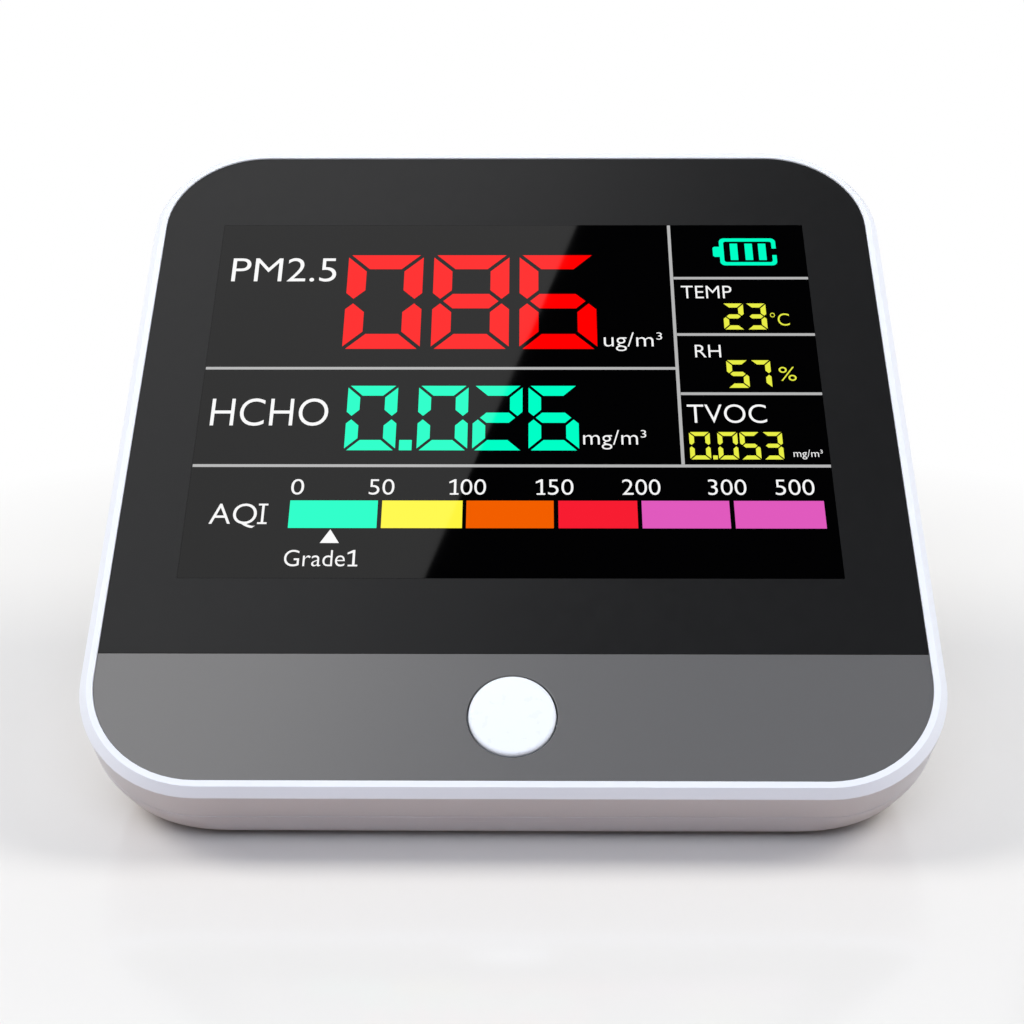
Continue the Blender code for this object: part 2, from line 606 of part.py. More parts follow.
def particle_sensor(wall, looks):
    """Laser particle counter against the left vents: case, lid, blower, laser, chamber and board."""
    left, right = -38.5 * MM, -1 * MM
    bottom, top = 16 * MM, 49.5 * MM
    rear, front = -3.4 * MM, -15 * MM
    wall_thickness = 0.8 * MM
    loops = []
    for margin, y in ((0, rear), (0, front + GAP), (wall_thickness, front + GAP),
                      (wall_thickness, rear - wall_thickness)):
        x0, x1, z0, z1 = left + margin, right - margin, bottom + margin, top - margin
        loops.append([Vector((x, y, z)) for x, z in ((x0, z0), (x1, z0), (x1, z1), (x0, z1))])
    case = place("pm_sensor_case", loft(bmesh.new(), loops), wall, looks["blue"])
    blower_x, blower_z = -27.5 * MM, 26.5 * MM
    blower = Vector((blower_x, 0, blower_z))
    inlet = laid_along_y(cylinder(5 * MM, -6 * MM, 0, (0, 0), 20))
    bmesh.ops.translate(inlet, vec=blower, verts=inlet.verts)
    outlet = box((-14 * MM, -6 * MM, 20 * MM), (-8 * MM, 0, 24 * MM))
    boolean(case, "DIFFERENCE", place("case_vents", merged([inlet, outlet]), wall))
    lid = box((left, front - 0.5 * MM, bottom), (right, front, top))
    place("pm_sensor_lid", lid, wall, looks["steel"])
    inner_rear = rear - wall_thickness
    motor_back = front + 2 * GAP
    motor = [(0, motor_back), (3.4 * MM, motor_back), (3.4 * MM, motor_back + 1.6 * MM),
             (0.8 * MM, motor_back + 1.6 * MM), (0.8 * MM, motor_back + 5 * MM), (0, motor_back + 5 * MM)]
    place("pm_fan_motor", laid_along_y(lathe(motor, 20)), wall, looks["black"], blower)
    fan_rotor(wall, looks, blower, motor_back + 2.1 * MM, inner_rear - GAP)
    laser = [(0, -5.5 * MM), (3 * MM, -5.5 * MM), (3 * MM, 4 * MM), (2.2 * MM, 5.5 * MM), (0, 5.5 * MM)]
    barrel = lathe(laser, 20)
    bmesh.ops.rotate(barrel, cent=(0, 0, 0), matrix=Matrix.Rotation(math.pi / 2, 3, "Y"), verts=barrel.verts)
    place("pm_laser_module", barrel, wall, looks["brass"], (-31 * MM, -9.5 * MM, 43 * MM))
    chamber = box((-24.5 * MM, -12.5 * MM, 39 * MM), (-12 * MM, inner_rear - GAP, 47 * MM))
    place("pm_optic_chamber", chamber, wall, looks["black"])
    board = box((-15.5 * MM, -12.6 * MM, 18 * MM), (-3 * MM, -11.4 * MM, 37.5 * MM))
    place("pm_sensor_pcb", board, wall, looks["pcb"])


def fan_rotor(wall, looks, centre, front, rear):
    """Centrifugal rotor: a ring of blades on a disc, bored for the motor's shaft. It turns about y."""
    blades = 11
    hub_radius, tip_radius, disc_radius = 4.6 * MM, 8.6 * MM, 8.9 * MM
    blade_points = []
    for blade in range(blades):
        start = 2 * math.pi * blade / blades
        for radius, turn in ((hub_radius, -0.16), (tip_radius, 0.18), (tip_radius, 0.26), (hub_radius, 0.0)):
            angle = start + turn
            blade_points.append(Vector((radius * math.cos(angle), radius * math.sin(angle))))
    wheel = place("pm_fan_rotor", laid_along_y(prism(blade_points, front + 0.6 * MM, rear)), wall,
                  looks["ivory"], centre)
    disc = laid_along_y(cylinder(disc_radius, front, front + MM, (0, 0), 32))
    boolean(wheel, "UNION", place("rotor_disc", disc, wall, None, centre))
    bore = laid_along_y(cylinder(1.1 * MM, front - 2 * MM, -7.5 * MM, (0, 0), 16))
    boolean(wheel, "DIFFERENCE", place("rotor_bore", bore, wall, None, centre))


def gas_sensors(wall, looks):
    """Board with the gas and climate sensors behind the right vents."""
    front, rear = -12.9 * MM, -11.7 * MM
    board = box((0.8 * MM, front, 16 * MM), (38.2 * MM, rear, 49 * MM))
    carrier = place("sensor_board", board, wall, looks["pcb"])
    holes = laid_cylinders(BOARD_SCREW[2] + GAP, front - MM, rear + MM, SENSOR_POSTS)
    boolean(carrier, "DIFFERENCE", place("sensor_board_holes", merged(holes), wall))
    sensor_front = rear + GAP
    can = [(0, 0), (8 * MM, 0), (8 * MM, 5.2 * MM), (7.4 * MM, 6 * MM), (4 * MM, 6 * MM),
           (3.6 * MM, 5.6 * MM), (0, 5.6 * MM)]
    can_at = (16 * MM, sensor_front, 27 * MM)
    place("hcho_sensor", laid_along_y(lathe(can, 28)), wall, looks["white"], can_at)
    can = [(0, 0), (4.6 * MM, 0), (4.6 * MM, 3.6 * MM), (4 * MM, 4.4 * MM), (2.4 * MM, 4.4 * MM),
           (2.2 * MM, 4.1 * MM), (0, 4.1 * MM)]
    can_at = (31.5 * MM, sensor_front, 30 * MM)
    place("tvoc_sensor", laid_along_y(lathe(can)), wall, looks["steel"], can_at)
    chip = box((29 * MM, sensor_front, 40 * MM), (33 * MM, sensor_front + 1.2 * MM, 44 * MM))
    place("temp_humidity_sensor", chip, wall, looks["black"])
    for number, (x, z) in enumerate(SENSOR_POSTS, 1):
        head = (x, front - GAP, z)
        screw(f"sensor_screw_{number}", wall, BOARD_SCREW, looks["steel"], head, (math.pi / 2, 0, 0))


def usb_inlet(wall, looks):
    board_top = USB_Z - 1.6 * MM
    board = box((-8.5 * MM, -18 * MM, board_top - 1.2 * MM), (8.5 * MM, USB_MOUTH - 0.4 * MM, board_top))
    place("usb_board", board, wall, looks["pcb"])
    bottom = board_top + GAP
    shell = box((-3.75 * MM, USB_MOUTH - 5.6 * MM, bottom), (3.75 * MM, USB_MOUTH, bottom + 2.6 * MM))
    socket = place("usb_socket", shell, wall, looks["steel"])
    floor = bottom + 0.35 * MM
    tongue_low = bottom + MM
    roof = bottom + 2.2 * MM
    port = [
        (USB_MOUTH + MM, floor), (USB_MOUTH + MM, roof), (USB_MOUTH - 0.8 * MM, roof),
        (USB_MOUTH - 0.8 * MM, tongue_low), (USB_MOUTH - 4.6 * MM, tongue_low), (USB_MOUTH - 4.6 * MM, floor),
    ]
    boolean(socket, "DIFFERENCE", place("usb_port", side_prism(port, 3.4 * MM), wall))


def vent_meshes(wall, look):
    for name, side in (("vent_mesh_left", -1), ("vent_mesh_right", 1)):
        x = side * VENT_CENTRE_X
        half = VENT_HALF_WIDTH + MM
        top = VENT_BOTTOM + (VENT_SLOTS - 1) * VENT_PITCH + VENT_HEIGHT + MM
        low = (x - half, -3.0 * MM, VENT_BOTTOM - MM)
        place(name, box(low, (x + half, -2.7 * MM, top)), wall, look)


def lead(name, points, radius, assembly, look):
    """A round wire bundle on a smooth curve through its route's points."""
    route = [Vector(point) for point in points]
    ends = [route[0] * 2 - route[1], *route, route[-1] * 2 - route[-2]]
    smooth = []
    per_leg = 5
    for i in range(1, len(ends) - 2):
        p0, p1, p2, p3 = ends[i - 1:i + 3]
        for step in range(per_leg):
            t = step / per_leg
            smooth.append(0.5 * (2 * p1 + (p2 - p0) * t + (2 * p0 - 5 * p1 + 4 * p2 - p3) * t * t
                                 + (3 * p1 - p0 - 3 * p2 + p3) * t ** 3))
    smooth.append(route[-1])
    data = bpy.data.curves.new(name, "CURVE")
    data.dimensions = "3D"
    data.bevel_depth = radius
    data.bevel_resolution = 1
    data.use_fill_caps = True
    spline = data.splines.new("POLY")
    spline.points.add(len(smooth) - 1)
    for point, at in zip(spline.points, smooth):
        point.co = (*at, 1)
    data.materials.append(look)
    made = bpy.data.objects.new(name, data)
    bpy.context.scene.collection.objects.link(made)
    made.parent = assembly


def leads(assembly, looks):
    """Wire bundles inside the housing, each from a piece at the rear to its plug on the main board."""
    plug = BOARD_DEPTH + BOARD_THICKNESS + PLUG_THICKNESS + 2.5 * GAP
    battery_side = BASE_FRONT + 25 * MM
    edge = BATTERY_SIZE[0] / 2 + GAP
    end = face_point(30 * MM, -24 * MM, plug)
    lead("battery_lead", [
        (edge, battery_side, 8 * MM), (edge + 3 * MM, battery_side, 8.5 * MM),
        end + Vector((MM, 2 * MM, -5 * MM)), end + INTO_FACE * 2 * MM, end,
    ], LEAD_RADIUS, assembly, looks["red"])
    end = face_point(16 * MM, -10 * MM, plug)
    start = wall_point(5 * MM, -18.6 * MM, USB_Z - 1.9 * MM)
    lead("usb_lead", [
        start, start + Vector((MM, -3 * MM, 2.5 * MM)), start.lerp(end, 0.6) + Vector((0, MM, -MM)),
        end + INTO_FACE * 2 * MM, end,
    ], LEAD_RADIUS, assembly, looks["black"])
    end = face_point(15 * MM, 6 * MM, plug)
    start = wall_point(15 * MM, -13.7 * MM, 38 * MM)
    lead("sensor_lead", [
        start, start - INTO_FACE * 0.5 * MM + Vector((0, -3 * MM, -MM)), end + INTO_FACE * 4 * MM, end,
    ], LEAD_RADIUS, assembly, looks["ivory"])
    end = face_point(9 * MM, 6 * MM, plug)
    start = wall_point(-6 * MM, -16.2 * MM, 30 * MM)
    lead("pm_sensor_lead", [
        start, start + Vector((MM, -2.5 * MM, 0)), end + INTO_FACE * 4 * MM + Vector((-3 * MM, 0, 0)), end,
    ], LEAD_RADIUS, assembly, looks["black"])


def palette():
    return {
        "white": material("white_shell", (0.83, 0.83, 0.85), 0.42),
        "white_gloss": material("white_button", (0.88, 0.88, 0.88), 0.25),
        "satin_black": material("satin_black", (0.018, 0.018, 0.02), 0.35),
        "window": material("display_glass", (0.003, 0.003, 0.004), 0.04),
        "grey": material("grey_strip", (0.16, 0.16, 0.165), 0.38),
        "black": material("black_plastic", (0.02, 0.02, 0.02), 0.5),
        "red": material("switch_plunger", (0.5, 0.03, 0.02), 0.45),
        "glass": material("lcd_cell", (0.05, 0.06, 0.07), 0.05),
        "diffuser": material("light_guide", (0.8, 0.8, 0.78), 0.3),
        "steel": material("bright_steel", (0.6, 0.6, 0.6), 0.3, 1),
        "amber": material("flex_film", (0.45, 0.22, 0.04), 0.35),
        "ivory": material("ivory_plastic", (0.75, 0.72, 0.62), 0.45),
        "pcb": material("board_green", (0.02, 0.14, 0.05), 0.4),
        "foil": material("cell_foil", (0.55, 0.56, 0.58), 0.3, 0.6),
        "blue": material("sensor_case_blue", (0.05, 0.12, 0.35), 0.45),
        "brass": material("laser_barrel", (0.6, 0.45, 0.15), 0.3, 1),
        "net": material("dust_net", (0.05, 0.05, 0.05), 0.8),
        "rubber": material("foot_rubber", (0.03, 0.03, 0.03), 0.85),
    }


def centre_on_origin(assembly, names):
    """Slide the whole object along y until the named shells reach equally far to both sides."""
    bpy.context.view_layer.update()
    shells = [bpy.data.objects[name] for name in names]
    depths = [(shell.matrix_world @ vertex.co).y for shell in shells for vertex in shell.data.vertices]
    assembly.location.y -= (min(depths) + max(depths)) / 2


def build():
    clear_scene()
    looks = palette()
    assembly = empty("assembly", None, (0, 0, 0), 0)
    face = empty("face_frame", assembly, (0, 0, FACE_HEIGHT), FACE_SLOPE)
    wall = empty("wall_frame", assembly, (0, BASE_REAR, FOOT_DROP), -WALL_LEAN)
    bezel(face, looks["white"])
    rear_cover(assembly, face, wall, looks["white"])
    feet(assembly, looks["rubber"])
    face_panels(face, looks)
    button(face, looks)
    display(face, looks)
    main_board(face, looks)
    case_screws(face, looks)
    battery(assembly, looks)
    particle_sensor(wall, looks)
    gas_sensors(wall, looks)
    usb_inlet(wall, looks)
    vent_meshes(wall, looks["net"])
    leads(assembly, looks)
    centre_on_origin(assembly, ("front_bezel", "rear_cover"))


build()
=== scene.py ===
import json
import math

import bmesh
import bpy
from mathutils import Matrix, Vector

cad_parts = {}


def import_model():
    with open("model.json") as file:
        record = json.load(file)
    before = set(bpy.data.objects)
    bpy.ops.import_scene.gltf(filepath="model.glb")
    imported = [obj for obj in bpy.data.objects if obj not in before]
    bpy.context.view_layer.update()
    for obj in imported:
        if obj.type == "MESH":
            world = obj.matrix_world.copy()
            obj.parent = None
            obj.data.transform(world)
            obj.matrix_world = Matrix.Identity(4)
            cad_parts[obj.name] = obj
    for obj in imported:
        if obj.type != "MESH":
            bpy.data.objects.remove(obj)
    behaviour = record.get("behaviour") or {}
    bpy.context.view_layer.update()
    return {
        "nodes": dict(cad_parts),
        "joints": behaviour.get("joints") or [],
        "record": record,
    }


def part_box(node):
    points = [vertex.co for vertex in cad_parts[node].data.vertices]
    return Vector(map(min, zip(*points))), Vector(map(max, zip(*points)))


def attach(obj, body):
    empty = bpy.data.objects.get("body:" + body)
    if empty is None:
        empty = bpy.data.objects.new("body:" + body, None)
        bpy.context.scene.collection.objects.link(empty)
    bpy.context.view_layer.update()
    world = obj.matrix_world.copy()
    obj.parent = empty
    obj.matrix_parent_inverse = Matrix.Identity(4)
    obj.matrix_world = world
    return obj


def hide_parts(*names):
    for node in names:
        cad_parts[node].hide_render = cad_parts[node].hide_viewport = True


# Looks of the desktop air quality monitor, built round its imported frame.
#
# Shapes are drawn in millimetres in one of three frames. Each piece is turned into the row
# frame (metres, +Z up, front towards -Y) when it is made:
#   FACE    x to the right, y up the face, z out of the face; its origin is the face's centre
#   WALL    x to the right, y out of the rear wall, z up it; its origin is at the wall's foot
#   GROUND  the row frame itself, in millimetres

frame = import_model()

MM = 0.001
RIGHT = Vector((1, 0, 0))
SMOOTH_ANGLE = math.radians(32)
EDGE_STEPS = 4  # flats along a rounded edge
ROUND_STEPS = 48  # sides of a small turned shape
FINE_STEPS = 96  # sides of the button and its hole

# Face layout, in millimetres from the face's centre
PANEL_HALF = 50
PANEL_CORNER = 13.55
RIM = 1.8  # of the bezel beyond the panel
LIP_WIDTH = 0.8
LIP_RISE = 0.2
FACET_DROP = 0.9
SEAM = 0.03  # each side of a seam between flush pieces
PANEL_THICKNESS = 1.5
WINDOW_CENTRE = (-0.35, 7)
WINDOW_HALF = (41.35, 29.7)
GLASS_HALF = (44.3, 32.8)
STRIP_TOP = -33.3
BUTTON_Y = -41.6
BUTTON_RADIUS = 5.17
BUTTON_FLANGE = 6.7
BUTTON_HOLE = 5.37
BUTTON_HOLE_EDGE = 0.12
BUTTON_CROWN = (0.36, 0.5)  # height at the side and in the middle
FLANGE_BETWEEN = (-2.75, -1.95)
STEM_RADIUS = 1.6
STEM_END = -4.3
PLATE_EDGE = 0.05  # rounding of the panel's and the strip's edge
WINDOW_EDGE = 0.02
WINDOW_GAP = 0.02  # each side of the window

# Inside of the bezel, in millimetres from the face, which is at 0
TRAY_FRONT = -1.8
TRAY_BACK = -3.4
CASE_POSTS = ((-40, -40), (40, -40), (-36, 43.9), (36, 43.9))
CASE_POST_RADIUS = 2.8
CASE_POST_END = -11
BOARD_POSTS = ((-24, -42.5), (24, -42.5), (-24, 43.8), (24, 43.8))
BOARD_POST_RADIUS = 2.2
BOARD_POST_END = -8.6
POST_ROOT = -3.1  # inside the tray, so that post and tray join
PILOT_END = -4.4
SCREW_HOLE = 1.6
PILOT_HOLE = 1.3
TRAY_CUT = (-4, -1)  # a cut through the tray runs past both its faces
FLANGE_GAP = 0.3

# Screws that close the housing
SCREW_SEAT = -15.5
HEAD_RADIUS = 2.4
HEAD_HEIGHT = (1.55, 1.8)  # at the side and in the middle
SHANK_RADIUS = 1.3
SHANK_LENGTH = 9.5
CROSS_HALF = (1.3, 0.3)
CROSS_FLOOR = 0.7

# Housing, in millimetres
SKIRT_DEPTH = 5.92
PARTING_DEPTH = 6.04
LIP_DEPTH = 4.4
LIP_INSET = (0.3, 1.3)
SHOULDER = (1.2, 7)  # straight side below the parting line, at the face's foot and head
SHOULDER_ROUNDING = (1, 12)  # at the same two places
SHELL_WALL = 2
BASE_HALF_WIDTH = 48.5
BASE_LENGTH = 68.5
BASE_CORNER = 15
BASE_ROUNDING = 8.5
FOOT_DROP = 0.8
FOOT_RADIUS = 4.5
FOOT_THICKNESS = 1.2
FOOT_HOLLOW = 0.15
FOOT_RECESS = (4.8, 0.7)  # radius and depth
FAN_HEIGHT = 26.5  # of the rotor's axis above the base, up the wall
BOSS_RADIUS = 4.3
BOSS_BETWEEN = (-40, -11.3)  # from inside the rear wall to just short of the bezel's posts
WELL_RADIUS = 3.1
WELL_BETWEEN = (-60, -15.2)  # from outside the rear wall to the well's floor
SCREW_WAY = (-20, -10)  # from inside the well to past the boss
VENT_SLOTS = 7
VENT_HALF_WIDTH = 13
VENT_CENTRE_X = 19.5
VENT_BOTTOM = 20
VENT_PITCH = 4.2
VENT_HEIGHT = 1.8
VENT_EDGE = 0.3
USB_Z = 11
USB_RECESS_HALF = (6.25, 3.8)
USB_RECESS_CORNER = 2
USB_RECESS_EDGE = 0.5
USB_MOUTH = -3.6
SOCKET_HALF = (3.75, 1.3)
SOCKET_SLANT = 0.75
SOCKET_LENGTH = 5.6
SOCKET_DEPTH = 4.6
SOCKET_SHEET = 0.3
SOCKET_EDGE = 0.08
TONGUE_HALF = (2.3, 0.35)
TONGUE_BETWEEN = (-4.7, -0.7)
CONTACT_PLACES = (-1.3, -0.43, 0.43, 1.3)
CONTACT_HALF_WIDTH = 0.17
CONTACT_LOW = (0.3, -4.4)  # height in the mouth and depth into it
CONTACT_HIGH = (0.42, -0.9)
SENSOR_POSTS = ((36, 19.5), (3.1, 45.5))
SENSOR_POST_RADIUS = 1.9
SENSOR_POST_BETWEEN = (-11.4, 5)  # from the board to outside the rear wall
SENSOR_PILOT = (-12, -5)
USB_POSTS = (-5.5, 5.5)
USB_POST_RADIUS = 1.8
USB_POST_DEPTH = 13
USB_POST_DROP = 3.1  # of its top below the socket's axis
UNDER_BASE = -20
WALL_CUT = -4  # a cut through the rear wall ends inside the housing


# Frames

def joint(name):
    return next(each for each in frame["joints"] if each["name"] == name)


def frame_matrix(origin, x_axis, y_axis, z_axis):
    turn = Matrix((x_axis, y_axis, z_axis)).transposed().to_4x4()
    return Matrix.Translation(origin) @ turn @ Matrix.Scale(MM, 4)


def middle(node):
    low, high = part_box(node)
    return (low + high) / 2


INTO_FACE = Vector(joint("button_press")["axis"]).normalized()
UP_FACE = RIGHT.cross(INTO_FACE)
OUT_OF_WALL = Vector(joint("fan_spin")["axis"]).normalized()
UP_WALL = RIGHT.cross(OUT_OF_WALL)

window_middle = Vector((*WINDOW_CENTRE, -PANEL_THICKNESS / 2)) * MM
face_origin = middle("display_window") - (
    RIGHT * window_middle.x + UP_FACE * window_middle.y - INTO_FACE * window_middle.z)
wall_origin = Vector(joint("fan_spin")["pos_m"]) - UP_WALL * FAN_HEIGHT * MM
wall_origin.x = 0

FACE = frame_matrix(face_origin, RIGHT, UP_FACE, -INTO_FACE)
WALL = frame_matrix(wall_origin, RIGHT, OUT_OF_WALL, UP_WALL)
GROUND = Matrix.Scale(MM, 4)
BASE_REAR = wall_origin.y / MM
BASE_FRONT = BASE_REAR - BASE_LENGTH


# Outlines and solids

def rounded_rectangle(half_x, half_y, radius, corner_steps=16, side_steps=6):
    """Anticlockwise outline that starts at the lower end of the right side."""
    corners = []
    for corner in range(4):
        sign_x = 1 if corner in (0, 3) else -1
        sign_y = 1 if corner in (0, 1) else -1
        centre = Vector((sign_x * (half_x - radius), sign_y * (half_y - radius)))
        angles = [(corner + step / corner_steps) * math.pi / 2 for step in range(corner_steps + 1)]
        corners.append([centre + radius * Vector((math.cos(a), math.sin(a))) for a in angles])
    outline = []
    for corner in range(4):
        last = corners[corner - 1][-1]
        first = corners[corner][0]
        outline += [last.lerp(first, step / side_steps) for step in range(1, side_steps)]
        outline += corners[corner]
    return outline


def offset_outline(outline, distance):
    """Move each point of an anticlockwise outline outward along the mitre of its two sides."""
    shifted = []
    for i, point in enumerate(outline):
        before = (point - outline[i - 1]).normalized()
        after = (outline[(i + 1) % len(outline)] - point).normalized()
        normal = Vector((before.y + after.y, -before.x - after.x)).normalized()
        cosine = max(normal.dot(Vector((before.y, -before.x))), 0.5)
        shifted.append(point + normal * distance / cosine)
    return shifted


def rounded_path(points, radii, steps=6):
    """A path whose inner corners are rounded, as far as the legs allow."""
    path = [points[0]]
    for i in range(1, len(points) - 1):
        corner = points[i]
        back = points[i - 1] - corner
        ahead = points[i + 1] - corner
        turn = math.pi - back.angle(ahead)
        reach = min(radii[i - 1] * math.tan(turn / 2), min(back.length, ahead.length) * 0.48)
        start = corner + back.normalized() * reach
        end = corner + ahead.normalized() * reach
        for step in range(steps + 1):
            t = step / steps
            path.append(start * (1 - t) ** 2 + corner * 2 * t * (1 - t) + end * t ** 2)
    path.append(points[-1])
    return path


def loft(loops):
    """Skin a row of equally long loops and cap both ends."""
    bm = bmesh.new()
    rows = [[bm.verts.new(point) for point in loop] for loop in loops]
    for lower, upper in zip(rows, rows[1:]):
        for i in range(len(lower)):
            j = (i + 1) % len(lower)
            bm.faces.new((lower[i], lower[j], upper[j], upper[i]))
    bm.faces.new(rows[0][::-1])
    bm.faces.new(rows[-1])
    return bm


def at_height(outline, z):
    return [Vector((point[0], point[1], z)) for point in outline]


def quarter_round(radius):
    """(inset, drop) pairs along a rounded top edge, from its side to its top."""
    angles = [step / EDGE_STEPS * math.pi / 2 for step in range(EDGE_STEPS + 1)]
    return [(radius * (1 - math.cos(a)), radius * (1 - math.sin(a))) for a in angles]


def slab(outline, low, high, edge):
    """Flat plate whose upper edge is rounded."""
    loops = [at_height(outline, low)]
    for inset, drop in quarter_round(edge):
        loops.append(at_height(offset_outline(outline, -inset), high - drop))
    return loft(loops)


def cut_with_round_mouth(outline, floor, edge, reach=2):
    """A cutter along z that leaves a rounded edge where it meets the surface z = 0."""
    loops = [at_height(outline, floor)]
    for inset, drop in quarter_round(edge):
        loops.append(at_height(offset_outline(outline, inset), -drop))
    loops.append(at_height(offset_outline(outline, edge), reach))
    return loft(loops)


def box(low, high):
    bm = bmesh.new()
    bmesh.ops.create_cube(bm, size=1)
    low, high = Vector(low), Vector(high)
    place = Matrix.Translation((high + low) / 2) @ Matrix.Diagonal((*(high - low), 1))
    bmesh.ops.transform(bm, matrix=place, verts=bm.verts)
    return bm


def lathe(profile, steps=ROUND_STEPS, centre=(0, 0)):
    """Turn (radius, z) points about an axis along z; the profile starts and ends on the axis."""
    bm = bmesh.new()
    rows = []
    x, y = centre
    angles = [2 * math.pi * i / steps for i in range(steps)]
    for radius, z in profile[1:-1]:
        rows.append([
            bm.verts.new((x + radius * math.cos(a), y + radius * math.sin(a), z)) for a in angles])
    for lower, upper in zip(rows, rows[1:]):
        for i in range(steps):
            j = (i + 1) % steps
            bm.faces.new((lower[i], lower[j], upper[j], upper[i]))
    for row, (_, z) in ((rows[0], profile[0]), (rows[-1], profile[-1])):
        tip = bm.verts.new((x, y, z))
        for i in range(steps):
            bm.faces.new((row[i], row[(i + 1) % steps], tip))
    return bm


def cylinder(radius, low, high, centre):
    return lathe([(0, low), (radius, low), (radius, high), (0, high)], centre=centre)


def laid_along_y(bm, lift=(0, 0, 0)):
    """Turn a shape built along z so that its z runs along +y and its y along -z, then shift it."""
    quarter_turn = Matrix.Rotation(-math.pi / 2, 3, "X")
    bmesh.ops.rotate(bm, cent=(0, 0, 0), matrix=quarter_turn, verts=bm.verts)
    bmesh.ops.translate(bm, vec=lift, verts=bm.verts)
    return bm


def moved(bm, matrix):
    bmesh.ops.transform(bm, matrix=matrix, verts=bm.verts)
    return bm


def merged(parts):
    whole = bmesh.new()
    for part in parts:
        mesh = bpy.data.meshes.new("part")
        part.to_mesh(mesh)
        part.free()
        whole.from_mesh(mesh)
        bpy.data.meshes.remove(mesh)
    return whole


def helper(bm):
    bmesh.ops.recalc_face_normals(bm, faces=bm.faces)
    mesh = bpy.data.meshes.new("helper")
    bm.to_mesh(mesh)
    bm.free()
    made = bpy.data.objects.new("helper", mesh)
    bpy.context.scene.collection.objects.link(made)
    return made


def carve(bm, steps):
    """Apply Boolean steps, each an operation and a bmesh, in the same frame as bm."""
    target = helper(bm)
    others = []
    for operation, other in steps:
        others.append(helper(other))
        modifier = target.modifiers.new(operation, "BOOLEAN")
        modifier.operation = operation
        modifier.solver = "EXACT"
        modifier.object = others[-1]
    bpy.context.view_layer.update()
    graph = bpy.context.evaluated_depsgraph_get()
    mesh = bpy.data.meshes.new_from_object(target.evaluated_get(graph))
    result = bmesh.new()
    result.from_mesh(mesh)
    for each in (target, *others):
        bpy.data.objects.remove(each)
    return result


def piece(name, bm, at, look, body="housing", nodes=()):
    """Turn a bmesh in millimetres into a piece that rides on a body and stands for CAD nodes."""
    bmesh.ops.transform(bm, matrix=at, verts=bm.verts)
    bmesh.ops.recalc_face_normals(bm, faces=bm.faces)
    mesh = bpy.data.meshes.new(name)
    bm.to_mesh(mesh)
    bm.free()
    mesh.shade_smooth()
    mesh.set_sharp_from_angle(angle=SMOOTH_ANGLE)
    mesh.materials.append(look)
    made = bpy.data.objects.new(name, mesh)
    bpy.context.scene.collection.objects.link(made)
    flat = made.modifiers.new("flat_faces", "WEIGHTED_NORMAL")
    flat.keep_sharp = True
    flat.weight = 100
    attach(made, body)
    if nodes:
        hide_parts(*nodes)
    return made


# Materials

WAVE_BANDS = 3  # of a wave texture at scale 1, to the metre, nearly
REMAP_SOCKETS = ("From Min", "From Max", "To Min", "To Max")


